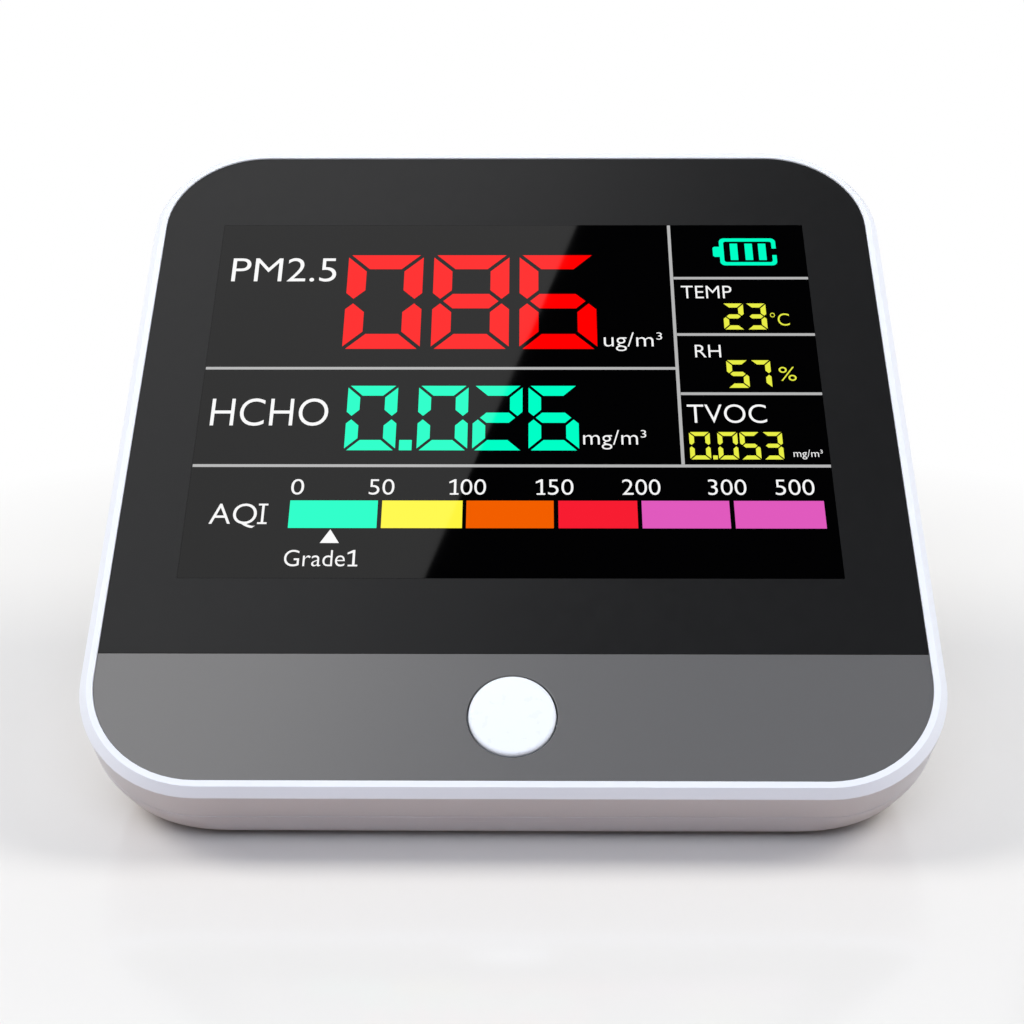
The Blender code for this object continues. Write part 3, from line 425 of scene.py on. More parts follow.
class Look:
    """A Principled material under construction. Texture scales are given as feature sizes in mm."""

    def __init__(self, name, colour, roughness, metallic=0.0):
        self.made = bpy.data.materials.new(name)
        self.made.use_nodes = True
        self.tree = self.made.node_tree
        self.shader = self.tree.nodes["Principled BSDF"]
        self.colour = colour
        self.roughness = roughness
        self.set("Base Color", (*colour, 1))
        self.set("Roughness", roughness)
        self.set("Metallic", metallic)
        self.made.diffuse_color = (*colour, 1)
        self.place = self.node("ShaderNodeTexCoord").outputs["Object"]
        self.height = None

    def node(self, kind, **settings):
        made = self.tree.nodes.new(kind)
        for key, value in settings.items():
            setattr(made, key, value)
        return made

    def set(self, socket, value):
        self.shader.inputs[socket].default_value = value
        return self

    def link(self, output, target):
        self.tree.links.new(output, target)

    def noise(self, size, detail=2.0, stretch=(1, 1, 1)):
        mapping = self.node("ShaderNodeMapping")
        self.link(self.place, mapping.inputs["Vector"])
        mapping.inputs["Scale"].default_value = stretch
        made = self.node("ShaderNodeTexNoise")
        made.inputs["Scale"].default_value = 1 / (size * MM)
        made.inputs["Detail"].default_value = detail
        self.link(mapping.outputs["Vector"], made.inputs["Vector"])
        return made.outputs["Fac"]

    def bands(self, pitch, direction="X"):
        """Parallel bands, about one to a pitch."""
        made = self.node("ShaderNodeTexWave", bands_direction=direction)
        made.inputs["Scale"].default_value = 1 / (pitch * MM) / WAVE_BANDS
        self.link(self.place, made.inputs["Vector"])
        return made.outputs["Fac"]

    def cells(self, size, randomness=1.0):
        """Distance from the middle of each cell of a Voronoi pattern."""
        made = self.node("ShaderNodeTexVoronoi")
        made.inputs["Scale"].default_value = 1 / (size * MM)
        made.inputs["Randomness"].default_value = randomness
        self.link(self.place, made.inputs["Vector"])
        return made.outputs["Distance"]

    def remap(self, value, low, high, start=0.3, end=0.7):
        made = self.node("ShaderNodeMapRange")
        self.link(value, made.inputs["Value"])
        for socket, number in zip(REMAP_SOCKETS, (start, end, low, high)):
            made.inputs[socket].default_value = number
        return made.outputs["Result"]

    def tint(self, value, other):
        """Blend the colour towards another where value is high; tints stack."""
        mix = self.node("ShaderNodeMix", data_type="RGBA")
        socket = self.shader.inputs["Base Color"]
        if socket.is_linked:
            self.link(socket.links[0].from_socket, mix.inputs["A"])
        else:
            mix.inputs["A"].default_value = socket.default_value
        mix.inputs["B"].default_value = (*other, 1)
        self.link(value, mix.inputs["Factor"])
        self.link(mix.outputs["Result"], socket)
        return self

    def mottle(self, size, amount):
        """Faint colour variation, such as moulding and handling leave."""
        other = tuple(channel * (1 - amount) for channel in self.colour)
        return self.tint(self.remap(self.noise(size), 0, 1), other)

    def polish(self, size, spread, stretch=(1, 1, 1)):
        """Vary the roughness round its value."""
        low, high = max(self.roughness - spread, 0.01), self.roughness + spread
        value = self.remap(self.noise(size, 3, stretch), low, high)
        self.link(value, self.shader.inputs["Roughness"])
        return self

    def grain(self, size, depth, stretch=(1, 1, 1), detail=2.0):
        """Raised texture; depth is in mm. Grains stack."""
        return self.bump(self.noise(size, detail, stretch), depth)

    def bump(self, value, depth):
        made = self.node("ShaderNodeBump")
        made.inputs["Strength"].default_value = 1
        made.inputs["Distance"].default_value = depth * MM
        self.link(value, made.inputs["Height"])
        if self.height:
            self.link(self.height, made.inputs["Normal"])
        self.height = made.outputs["Normal"]
        self.link(self.height, self.shader.inputs["Normal"])
        return self


def moulded(name, colour, roughness, grain=0.35, depth=0.004):
    """Moulded plastic with a fine spark-eroded grain."""
    look = Look(name, colour, roughness).mottle(9, 0.03).polish(3, 0.05)
    return look.grain(grain, depth).made


def brushed(name, colour, roughness, stretch=(1, 0.05, 1)):
    """Metal with fine marks drawn out along the axis of the small stretch."""
    look = Look(name, colour, roughness, 1.0).mottle(4, 0.12).polish(0.3, 0.1, stretch)
    return look.grain(0.12, 0.002, stretch).made


def satin_panel():
    """Dark coating with a fine silky grain."""
    look = Look("satin_black_coating", (0.0096, 0.0094, 0.0093), 0.37)
    return look.mottle(12, 0.06).polish(1.5, 0.03).grain(0.12, 0.0006).made


def metallic_strip():
    """Grey coating with metal flakes in it."""
    look = Look("grey_metallic_coating", (0.256, 0.247, 0.237), 0.33, 0.56)
    sparkle = look.remap(look.cells(0.09), 0.35, 0, 0, 0.5)
    look.tint(sparkle, (0.29, 0.285, 0.275))
    return look.polish(2, 0.012).grain(0.12, 0.0005).made


def display_gloss():
    """Polished window over the liquid crystal cell, black where nothing is lit."""
    look = Look("display_gloss", (0.0004, 0.0004, 0.0005), 0.03)
    return look.polish(14, 0.012).made


def lit(name, colour):
    """A lit part of the display, behind the same polished surface."""
    look = Look(name, tuple(0.02 * channel for channel in colour), 0.03).polish(14, 0.012)
    look.set("Emission Color", (*colour, 1))
    look.set("Emission Strength", 1)
    return look.made


def button_plastic():
    """Smooth white plastic, a little glossier than the housing's."""
    look = Look("button_plastic", (0.91, 0.92, 0.925), 0.3).mottle(5, 0.004).polish(1.2, 0.04)
    return look.grain(0.3, 0.0012).made


def shell_plastic():
    """Fine-grained white plastic of the housing."""
    look = Look("white_shell_plastic", (0.86, 0.86, 0.87), 0.38).mottle(14, 0.02).polish(2.5, 0.05)
    look.set("Subsurface Weight", 0.04)
    look.set("Subsurface Radius", (0.0006, 0.0005, 0.0005))
    return look.grain(0.28, 0.0016).made


def rubber():
    look = Look("foot_rubber", (0.028, 0.028, 0.03), 0.75).mottle(2, 0.3).polish(0.8, 0.1)
    return look.grain(0.15, 0.01).made


def circuit_board():
    """Green solder mask over copper tracks and ground areas."""
    look = Look("solder_mask", (0.015, 0.13, 0.05), 0.32)
    tracks = look.node("ShaderNodeTexBrick", offset=0.35, squash=0.7)
    tracks.inputs["Scale"].default_value = 1 / (7 * MM)
    tracks.inputs["Mortar Size"].default_value = 0.03
    tracks.inputs["Color1"].default_value = (0, 0, 0, 1)
    tracks.inputs["Color2"].default_value = (0.12, 0.12, 0.12, 1)
    tracks.inputs["Mortar"].default_value = (1, 1, 1, 1)
    look.link(look.place, tracks.inputs["Vector"])
    look.tint(tracks.outputs["Color"], (0.05, 0.27, 0.1)).polish(2, 0.06)
    return look.bump(tracks.outputs["Color"], 0.02).made


def woven_net():
    """Black net whose threads run both ways."""
    look = Look("dust_net", (0.02, 0.02, 0.02), 0.8)
    both = look.node("ShaderNodeMath", operation="MAXIMUM")
    for socket, direction in enumerate(("X", "Z")):
        look.link(look.bands(0.5, direction), both.inputs[socket])
    look.tint(look.remap(both.outputs["Value"], 0, 1, 0.4, 0.9), (0.11, 0.11, 0.11))
    return look.bump(both.outputs["Value"], 0.1).made


def crinkled_foil():
    """Wrapping of the battery cell."""
    look = Look("cell_foil", (0.55, 0.56, 0.58), 0.28, 0.8).mottle(3, 0.1).polish(1.5, 0.08)
    return look.grain(2.5, 0.06, detail=4).made


def flex_film():
    """Amber film with copper conductors side by side."""
    look = Look("flex_film", (0.45, 0.22, 0.04), 0.3)
    tracks = look.bands(0.8)
    look.tint(look.remap(tracks, 0, 0.8, 0.4, 0.6), (0.6, 0.33, 0.1))
    return look.bump(tracks, 0.02).made


def light_guide():
    """Clear plate with a grid of white extraction dots."""
    look = Look("light_guide", (0.74, 0.75, 0.74), 0.2)
    dots = look.cells(0.9, 0.1)
    look.tint(look.remap(dots, 1, 0, 0.15, 0.3), (0.93, 0.93, 0.92))
    return look.polish(4, 0.05).made


def glass_cell():
    """Switched-off liquid crystal cell: grey glass with its columns faintly visible."""
    look = Look("lcd_cell", (0.045, 0.052, 0.06), 0.06).mottle(20, 0.1)
    return look.bump(look.bands(1.2), 0.0005).made


# Housing

def bezel():
    """White frame: bright lip and facet round the panel, side wall, tray and screw posts."""
    def outline(point):
        half = PANEL_HALF + point.x
        return at_height(rounded_rectangle(half, half, PANEL_CORNER + point.x), point.y)

    corners = [Vector(point) for point in (
        (0, TRAY_BACK), (0, -SKIRT_DEPTH), (RIM, -SKIRT_DEPTH), (RIM, -FACET_DROP),
        (LIP_WIDTH, LIP_RISE), (0, LIP_RISE), (0, TRAY_FRONT))]
    section = rounded_path(corners, (0.1, 0.08, 0.2, 0.12, 0.07), 4)
    body = loft([outline(point) for point in section])
    posts = [cylinder(CASE_POST_RADIUS, CASE_POST_END, POST_ROOT, at) for at in CASE_POSTS]
    posts += [cylinder(BOARD_POST_RADIUS, BOARD_POST_END, POST_ROOT, at) for at in BOARD_POSTS]
    holes = [cylinder(SCREW_HOLE, CASE_POST_END - 1, PILOT_END, at) for at in CASE_POSTS]
    holes += [cylinder(PILOT_HOLE, BOARD_POST_END - 1, PILOT_END, at) for at in BOARD_POSTS]
    x, y = WINDOW_CENTRE
    half_x, half_y = GLASS_HALF
    low, high = TRAY_CUT
    holes.append(box((x - half_x, y - half_y, low), (x + half_x, y + half_y, high)))
    holes.append(cylinder(BUTTON_FLANGE + FLANGE_GAP, low, high, (0, BUTTON_Y)))
    body = carve(body, [("UNION", merged(posts)), ("DIFFERENCE", merged(holes))])
    piece("bezel_moulding", body, FACE, WHITE, nodes=["front_bezel"])


def between(ends, share):
    return ends[0] + (ends[1] - ends[0]) * share


def wedge(rim_offset, start_loops, base_inset, base_lift):
    """Loft from the square rim behind the face down to the rounded base outline, in GROUND."""
    to_ground = GROUND.inverted() @ FACE
    half = PANEL_HALF + rim_offset
    rim = rounded_rectangle(half, half, PANEL_CORNER + rim_offset)
    half_y = BASE_LENGTH / 2
    centre = BASE_FRONT + half_y
    base, core = (
        rounded_rectangle(BASE_HALF_WIDTH - inset, half_y - inset, BASE_CORNER - inset)
        for inset in (base_inset, BASE_ROUNDING))
    height = FOOT_DROP + base_lift
    paths = []
    for at_rim, at_base, at_core in zip(rim, base, core):
        share = (at_rim.y + half) / (2 * half)
        depth = PARTING_DEPTH + between(SHOULDER, share)
        corners = [
            to_ground @ Vector((at_rim.x, at_rim.y, -PARTING_DEPTH)),
            to_ground @ Vector((at_rim.x, at_rim.y, -depth)),
            Vector((at_base.x, at_base.y + centre, height)),
            Vector((at_core.x, at_core.y + centre, height)),
        ]
        radii = (between(SHOULDER_ROUNDING, share), BASE_ROUNDING - base_inset / 2)
        paths.append(rounded_path(corners, radii, 12))
    loops = []
    for offset, depth in start_loops:
        size = PANEL_HALF + offset
        outline = rounded_rectangle(size, size, PANEL_CORNER + offset)
        loops.append([to_ground @ point for point in at_height(outline, -depth)])
    return loft(loops + [list(loop) for loop in zip(*paths)])


def rear_cover():
    """Wedge-shaped shell with screw bosses, wells, vents, the USB recess and foot recesses."""
    from_face = GROUND.inverted() @ FACE
    from_wall = GROUND.inverted() @ WALL
    lip_outer, lip_inner = (-inset for inset in LIP_INSET)
    start = [(lip_outer, LIP_DEPTH), (lip_outer, PARTING_DEPTH)]
    shell = wedge(RIM, start, 0, 0)
    cavity = wedge(lip_inner, [(lip_inner, LIP_DEPTH - 1)], SHELL_WALL, SHELL_WALL)
    bosses = merged([cylinder(BOSS_RADIUS, *BOSS_BETWEEN, at) for at in CASE_POSTS])
    stubs = [laid_along_y(cylinder(SENSOR_POST_RADIUS, *SENSOR_POST_BETWEEN, (x, -z)))
             for x, z in SENSOR_POSTS]
    top = USB_Z - USB_POST_DROP
    stubs += [cylinder(USB_POST_RADIUS, UNDER_BASE, top, (x, -USB_POST_DEPTH)) for x in USB_POSTS]
    cavity = carve(cavity, [
        ("DIFFERENCE", moved(bosses, from_face)),
        ("DIFFERENCE", moved(merged(stubs), from_wall)),
    ])
    wells = merged([cylinder(WELL_RADIUS, *WELL_BETWEEN, at) for at in CASE_POSTS])
    holes = merged([cylinder(SCREW_HOLE, *SCREW_WAY, at) for at in CASE_POSTS])
    cuts = []
    slot = rounded_rectangle(VENT_HALF_WIDTH, VENT_HEIGHT / 2, VENT_HEIGHT / 2 - 0.01, 6, 4)
    for side in (-1, 1):
        for i in range(VENT_SLOTS):
            at = (side * VENT_CENTRE_X, 0, VENT_BOTTOM + i * VENT_PITCH + VENT_HEIGHT / 2)
            cuts.append(laid_along_y(cut_with_round_mouth(slot, WALL_CUT, VENT_EDGE), at))
    recess = rounded_rectangle(*USB_RECESS_HALF, USB_RECESS_CORNER, 8, 3)
    recess = cut_with_round_mouth(recess, WALL_CUT, USB_RECESS_EDGE)
    cuts.append(laid_along_y(recess, (0, 0, USB_Z)))
    cuts += [laid_along_y(cylinder(PILOT_HOLE, *SENSOR_PILOT, (x, -z))) for x, z in SENSOR_POSTS]
    radius, depth = FOOT_RECESS
    foot_recesses = merged([cylinder(radius, 0, FOOT_DROP + depth, at) for at in feet_places()])
    body = carve(shell, [
        ("DIFFERENCE", cavity),
        ("DIFFERENCE", moved(wells, from_face)),
        ("DIFFERENCE", moved(holes, from_face)),
        ("DIFFERENCE", moved(merged(cuts), from_wall)),
        ("DIFFERENCE", foot_recesses),
    ])
    piece("cover_moulding", body, GROUND, WHITE, nodes=["rear_cover"])


def usb_socket():
    """Folded metal shell, narrower below, round a black tongue with four contacts."""
    def outline(inset):
        x, y = (half - inset for half in SOCKET_HALF)
        slant = SOCKET_SLANT
        corners = [Vector(point) for point in (
            (0, -y), (x, -y), (x, y - slant), (x - slant, y),
            (slant - x, y), (-x, y - slant), (-x, -y), (0, -y))]
        return rounded_path(corners, (0.4, 0.5, 0.5, 0.5, 0.5, 0.4), 4)[:-1]

    place = (0, USB_MOUTH, USB_Z)
    mouth = cut_with_round_mouth(outline(SOCKET_SHEET), -SOCKET_DEPTH, SOCKET_EDGE, 1)
    shell = carve(slab(outline(0), -SOCKET_LENGTH, 0, SOCKET_EDGE), [("DIFFERENCE", mouth)])
    piece("usb_shell", laid_along_y(shell, place), WALL, TIN_PLATE,
          nodes=["usb_socket"])
    tongue = slab(rounded_rectangle(*TONGUE_HALF, 0.1, 2, 2), *TONGUE_BETWEEN, 0.1)
    piece("usb_tongue", laid_along_y(tongue, place), WALL, BLACK_PLASTIC)
    half = CONTACT_HALF_WIDTH
    contacts = [box((x - half, *CONTACT_LOW), (x + half, *CONTACT_HIGH)) for x in CONTACT_PLACES]
    piece("usb_contacts", laid_along_y(merged(contacts), place), WALL, BRASS)


def case_screws():
    """Pan-head screws with a cross recess, at the bottom of their wells."""
    turned = Matrix.Rotation(math.pi, 4, "X")
    side, top = HEAD_HEIGHT
    crown = [Vector(point) for point in ((HEAD_RADIUS, 0), (HEAD_RADIUS, side), (0, top))]
    profile = [(0, -SHANK_LENGTH), (SHANK_RADIUS, -SHANK_LENGTH), (SHANK_RADIUS, 0)]
    profile += [(point.x, point.y) for point in rounded_path(crown, (1,), 8)]
    for number, (x, y) in enumerate(CASE_POSTS, 1):
        slots = [("DIFFERENCE", box((-long, -wide, CROSS_FLOOR), (long, wide, 3)))
                 for long, wide in (CROSS_HALF, CROSS_HALF[::-1])]
        place = FACE @ Matrix.Translation((x, y, SCREW_SEAT)) @ turned
        piece(f"cover_screw_{number}", carve(lathe(profile), slots), place, ZINC,
              nodes=[f"case_screw_{number}"])


def feet_places():
    """Centres of the feet in millimetres, read from the frame."""
    return [tuple(middle(f"foot_{number}").xy / MM) for number in range(1, 5)]


def feet():
    """Rubber feet with a rounded edge and a shallow hollow in the sole."""
    profile = [
        (0, FOOT_HOLLOW), (1.6, FOOT_HOLLOW), (1.9, 0), (3.9, 0), (4.3, 0.12), (FOOT_RADIUS, 0.4),
        (FOOT_RADIUS, FOOT_THICKNESS), (0, FOOT_THICKNESS),
    ]
    for number, at in enumerate(feet_places(), 1):
        piece(f"rubber_foot_{number}", lathe(profile, centre=at), GROUND, RUBBER,
              nodes=[f"foot_{number}"])


# Face

def panel_outline(seam_y, upper):
    """The panel's outline above or below a level seam, anticlockwise."""
    half = PANEL_HALF - SEAM
    sign = 1 if upper else -1
    outline = rounded_rectangle(half, half, PANEL_CORNER - SEAM, 24, 1)
    kept = [point for point in outline if point.y * sign > 0]
    return [Vector((sign * half, seam_y)), *kept, Vector((-sign * half, seam_y))]


def face_panels():
    """Dark panel, the window flush in its opening, and the strip with the button's hole."""
    x, y = WINDOW_CENTRE
    half_x, half_y = WINDOW_HALF
    panel = slab(panel_outline(STRIP_TOP + SEAM, True), -PANEL_THICKNESS, 0, PLATE_EDGE)
    opening = box((x - half_x, y - half_y, -3), (x + half_x, y + half_y, 1))
    panel = carve(panel, [("DIFFERENCE", opening)])
    piece("panel_plate", panel, FACE, SATIN, nodes=["front_panel"])
    window = rounded_rectangle(half_x - WINDOW_GAP, half_y - WINDOW_GAP, 0.1, 3, 1)
    window = [point + Vector((x, y)) for point in window]
    piece("lcd_window", slab(window, -PANEL_THICKNESS, 0, WINDOW_EDGE), FACE, GLOSS,
          nodes=["display_window"])
    strip = slab(panel_outline(STRIP_TOP - SEAM, False), -PANEL_THICKNESS, 0, PLATE_EDGE)
    ring = [Vector((BUTTON_HOLE * math.cos(a), BUTTON_HOLE * math.sin(a)))
            for a in (2 * math.pi * i / FINE_STEPS for i in range(FINE_STEPS))]
    hole = cut_with_round_mouth(ring, -3, BUTTON_HOLE_EDGE)
    hole = moved(hole, Matrix.Translation((0, BUTTON_Y, 0)))
    piece("strip_plate", carve(strip, [("DIFFERENCE", hole)]), FACE, STRIP,
          nodes=["control_panel"])


def button():
    """Round cap with a soft crown; its flange and stem are hidden behind the strip."""
    side, top = BUTTON_CROWN
    low, high = FLANGE_BETWEEN
    crown = [Vector(point) for point in ((BUTTON_RADIUS, -1), (BUTTON_RADIUS, side), (0, top))]
    profile = [(0, STEM_END), (STEM_RADIUS, STEM_END), (STEM_RADIUS, low), (BUTTON_FLANGE, low),
               (BUTTON_FLANGE, high), (BUTTON_RADIUS, high)]
    profile += [(point.x, point.y) for point in rounded_path(crown, (0.5,), 8)]
    piece("button_face", lathe(profile, FINE_STEPS, (0, BUTTON_Y)), FACE, BUTTON, "button",
          nodes=["button_cap"])


# Display graphics: thin lit shapes on the window

GRAPHIC_LOW = 0.006
GRAPHIC_HIGH = 0.02
SMALL_CAP = 2.4  # height of the scale's numbers and the grade
SCALE_BASE = -10.13
SCALE_BETWEEN = (-15.25, -11.05)
GRADE_BASE = -20.95
DIVIDER_HALF = 0.22
FONT_CAP = 0.682  # height of the built-in font's capitals, as a share of its size
FONT_THINNING = -0.007  # likewise

SEGMENTS_OF = {
    "0": "abcdef", "2": "abdeg", "3": "abcdg", "5": "acdfg", "6": "acdefg", "7": "abc",
    "8": "abcdefg",
}


def flat_shape(points):
    return loft([at_height(points, GRAPHIC_LOW), at_height(points, GRAPHIC_HIGH)])


def bar(x0, y0, x1, y1):
    return flat_shape([(x0, y0), (x1, y0), (x1, y1), (x0, y1)])


def segment_shapes(digit, x, y, width, height, stroke, gap):
    """The lit segments of one seven-segment digit whose lower left corner is (x, y)."""
    s = gap / math.sqrt(2)
    node = stroke * 0.4  # how far in from the side the strokes meet
    mid = height / 2
    upper_left = [
        (0, mid + s + node), (node, mid + s), (stroke, mid + s + stroke - node),
        (stroke, height - stroke - s), (0, height - s),
    ]
    top = [(s, height), (stroke + s, height - stroke), (width - stroke - s, height - stroke),
           (width - s, height)]
    inner = node + s
    half = stroke / 2
    centre = [(inner, mid), (inner + half, mid - half), (width - inner - half, mid - half),
              (width - inner, mid), (width - inner - half, mid + half), (inner + half, mid + half)]

    def flip_x(points):
        return [(width - px, py) for px, py in points][::-1]

    def flip_y(points):
        return [(px, height - py) for px, py in points][::-1]

    shapes = {
        "a": top, "f": upper_left, "b": flip_x(upper_left), "e": flip_y(upper_left),
        "c": flip_x(flip_y(upper_left)), "d": flip_y(top), "g": centre,
    }
    return [flat_shape([(x + px, y + py) for px, py in shapes[key]]) for key in SEGMENTS_OF[digit]]


def readout(places, y0, y1, stroke, gap):
    """Digits given as (character, left, right) between two heights; a point is a small square."""
    parts = []
    for character, left, right in places:
        if character == ".":
            parts.append(bar(left, y0, right, y0 + stroke))
        else:
            parts += segment_shapes(character, left, y0, right - left, y1 - y0, stroke, gap)
    return parts


def digit_one(left, right, base, cap):
    """A numeral one with a flag and a foot."""
    width, stroke = right - left, 0.125 * cap
    middle_x, thick, flag = width / 2 + 0.06 * cap, 0.095 * cap, 0.84 * cap
    points = [
        (0.04 * cap, 0), (width, 0), (width, thick), (middle_x + stroke / 2, thick),
        (middle_x + stroke / 2, cap), (middle_x - stroke * 0.3, cap), (0, flag),
        (0, flag - 1.1 * thick), (middle_x - stroke / 2, flag), (middle_x - stroke / 2, thick),
        (0.04 * cap, thick),
    ]
    return flat_shape([(left + px, base + py) for px, py in points])


def capital_i(left, right, base, cap):
    """A capital I with a bar at its head and foot."""
    width, stroke, thick = right - left, 0.1 * cap, 0.085 * cap
    near, far = (width - stroke) / 2, (width + stroke) / 2
    points = [
        (0, 0), (width, 0), (width, thick), (far, thick), (far, cap - thick), (width, cap - thick),
        (width, cap), (0, cap), (0, cap - thick), (near, cap - thick), (near, thick), (0, thick),
    ]
    return flat_shape([(left + px, base + py) for px, py in points])


def legend(text, left, right, base, cap):
    """Text between two sides, on a base line, with capitals of the given height."""
    data = bpy.data.curves.new("legend", "FONT")
    data.body = text
    data.size = cap / FONT_CAP
    data.offset = FONT_THINNING * data.size
    data.extrude = (GRAPHIC_HIGH - GRAPHIC_LOW) / 2
    data.resolution_u = 6
    source = bpy.data.objects.new("legend", data)
    bpy.context.scene.collection.objects.link(source)
    bpy.context.view_layer.update()
    graph = bpy.context.evaluated_depsgraph_get()
    mesh = bpy.data.meshes.new_from_object(source.evaluated_get(graph))
    bpy.data.objects.remove(source)
    bm = bmesh.new()
    bm.from_mesh(mesh)
    low = min(vertex.co.x for vertex in bm.verts)
    high = max(vertex.co.x for vertex in bm.verts)
    for vertex in bm.verts:
        vertex.co.x = left + (vertex.co.x - low) * (right - left) / (high - low)
        vertex.co.y += base
        vertex.co.z += (GRAPHIC_HIGH + GRAPHIC_LOW) / 2
    return bm


def battery_icon():
    """Outline with a nub at its left and a notch at its right, and three charge bars."""
    outer = rounded_rectangle(4, 2.55, 0.7, 5, 1)
    inner = rounded_rectangle(3.4, 1.95, 0.35, 5, 1)
    place = Matrix.Translation((32.9, 31.55, 0))
    case = loft([at_height(outer, GRAPHIC_LOW), at_height(outer, GRAPHIC_HIGH)])
    hollow = loft([at_height(inner, -1), at_height(inner, 1)])
    notch = box((3, -0.62, -1), (5, 0.62, 1))
    case = carve(case, [("DIFFERENCE", hollow), ("DIFFERENCE", notch)])
    nub = flat_shape([
        (-4.95, -0.75), (-4.7, -0.95), (-3.6, -0.95), (-3.6, 0.95), (-4.7, 0.95), (-4.95, 0.75)])
    bars = [bar(left, -1.55, left + 1.07, 1.55) for left in (-2.5, -0.4, 1.5)]
    return moved(merged([carve(case, [("UNION", nub)]), *bars]), place)


def display_graphics():
    """Each colour of the display as a piece of its own; the places are the layout itself."""
    red = readout([("0", -23.45, -12.9), ("8", -11.4, -0.8), ("6", 0.65, 11.25)],
                  13.87, 30.9, 2.62, 0.6)
    green = readout([("0", -22.15, -15.5), (".", -15.0, -13.35), ("0", -12.7, -6.1),
                     ("2", -5.45, 1.1), ("6", 1.9, 8.5)], -3.13, 7.5, 1.66, 0.42)
    yellow = readout([("2", 28.7, 31.5), ("3", 31.85, 34.6)], 17.3, 21.95, 0.72, 0.2)
    yellow += readout([("5", 28.55, 31.45), ("7", 31.8, 34.45)], 7.2, 11.9, 0.72, 0.2)
    yellow += readout([("0", 22.9, 25.6), (".", 25.85, 26.45), ("0", 26.6, 29.2), ("5", 29.5, 32.1),
                       ("3", 32.45, 35.05)], -4.55, -0.15, 0.62, 0.18)
    yellow += [legend("°C", 35.1, 37.7, 18.0, 2.15), legend("%", 35.5, 37.8, 8.4, 2.35)]
    white = [
        legend("PM2.5", -39.75, -25.1, 26.0, 4.35), legend("ug/m³", 12.15, 20.1, 14.3, 2.45),
        legend("HCHO", -40.1, -24.6, 0.85, 4.5), legend("mg/m³", 9.05, 17.3, -2.2, 2.35),
        legend("TEMP", 23.1, 30.1, 22.9, 2.3), legend("RH", 24.45, 27.95, 12.4, 2.2),
        legend("TVOC", 22.85, 33.3, 1.35, 3.05), legend("mg/m³", 36.3, 40.1, -4.15, 1.15),
        legend("AQ", -38.6, -32.6, -14.66, 3.1), capital_i(-32.45, -31.25, -14.66, 3.1),
        legend("Grade", -28.6, -21.0, GRADE_BASE, SMALL_CAP),
        digit_one(-20.7, -19.4, GRADE_BASE, SMALL_CAP),
        digit_one(-8.26, -7.05, SCALE_BASE, SMALL_CAP),
        legend("00", -6.8, -3.55, SCALE_BASE, SMALL_CAP),
        digit_one(2.85, 4.05, SCALE_BASE, SMALL_CAP),
        legend("50", 4.4, 7.66, SCALE_BASE, SMALL_CAP),
    ]
    for text, left, right in (("0", -28.55, -26.9), ("50", -18.55, -15.3), ("200", 13.9, 18.8),
                              ("300", 24.9, 29.8), ("500", 33.5, 38.5)):
        white.append(legend(text, left, right, SCALE_BASE, SMALL_CAP))
    marker = flat_shape([(-23.1, -15.45), (-24.3, -17.5), (-21.9, -17.5)])
    white.append(marker)
    line = DIVIDER_HALF
    dividers = [
        bar(-41.6, 10.5 - line, 21.68, 10.5 + line), bar(-41.6, -5.6 - line, 40.95, -5.6 + line),
        bar(21.9 - line, -5.35, 21.9 + line, 36.6),
    ]
    dividers += [bar(22.15, y - line, 40.95, y + line) for y in (26.6, 16.4, 6.2)]
    scale = [("green", -28.5, -17.3), ("yellow", -16.75, -6.5), ("orange", -6.0, 5.1),
             ("red", 5.7, 15.75), ("magenta", 16.3, 27.45), ("magenta", 28.05, 39.5)]
    low, high = SCALE_BETWEEN
    scale_bars = {}
    for colour, left, right in scale:
        scale_bars.setdefault(colour, []).append(bar(left, low, right, high))
    lit_pieces = [
        ("readout_red", red, LIT["red"], "lcd_red"),
        ("readout_green", green + [battery_icon()], LIT["green"], "lcd_green"),
        ("readout_yellow", yellow, LIT["lemon"], "lcd_yellow"),
        ("legends_white", white, LIT["white"], "lcd_white"),
        ("divider_lines", dividers, LIT["line"], "lcd_white"),
        ("scale_green", scale_bars["green"], LIT["green"], "lcd_green"),
        ("scale_yellow", scale_bars["yellow"], LIT["yellow"], "lcd_yellow"),
        ("scale_orange", scale_bars["orange"], LIT["orange"], "lcd_orange"),
        ("scale_red", scale_bars["red"], LIT["crimson"], "lcd_red"),
        ("scale_magenta", scale_bars["magenta"], LIT["magenta"], "lcd_magenta"),
    ]
    for name, parts, look, slot in lit_pieces:
        piece(name, merged(parts), FACE, look)


# Carried-over nodes

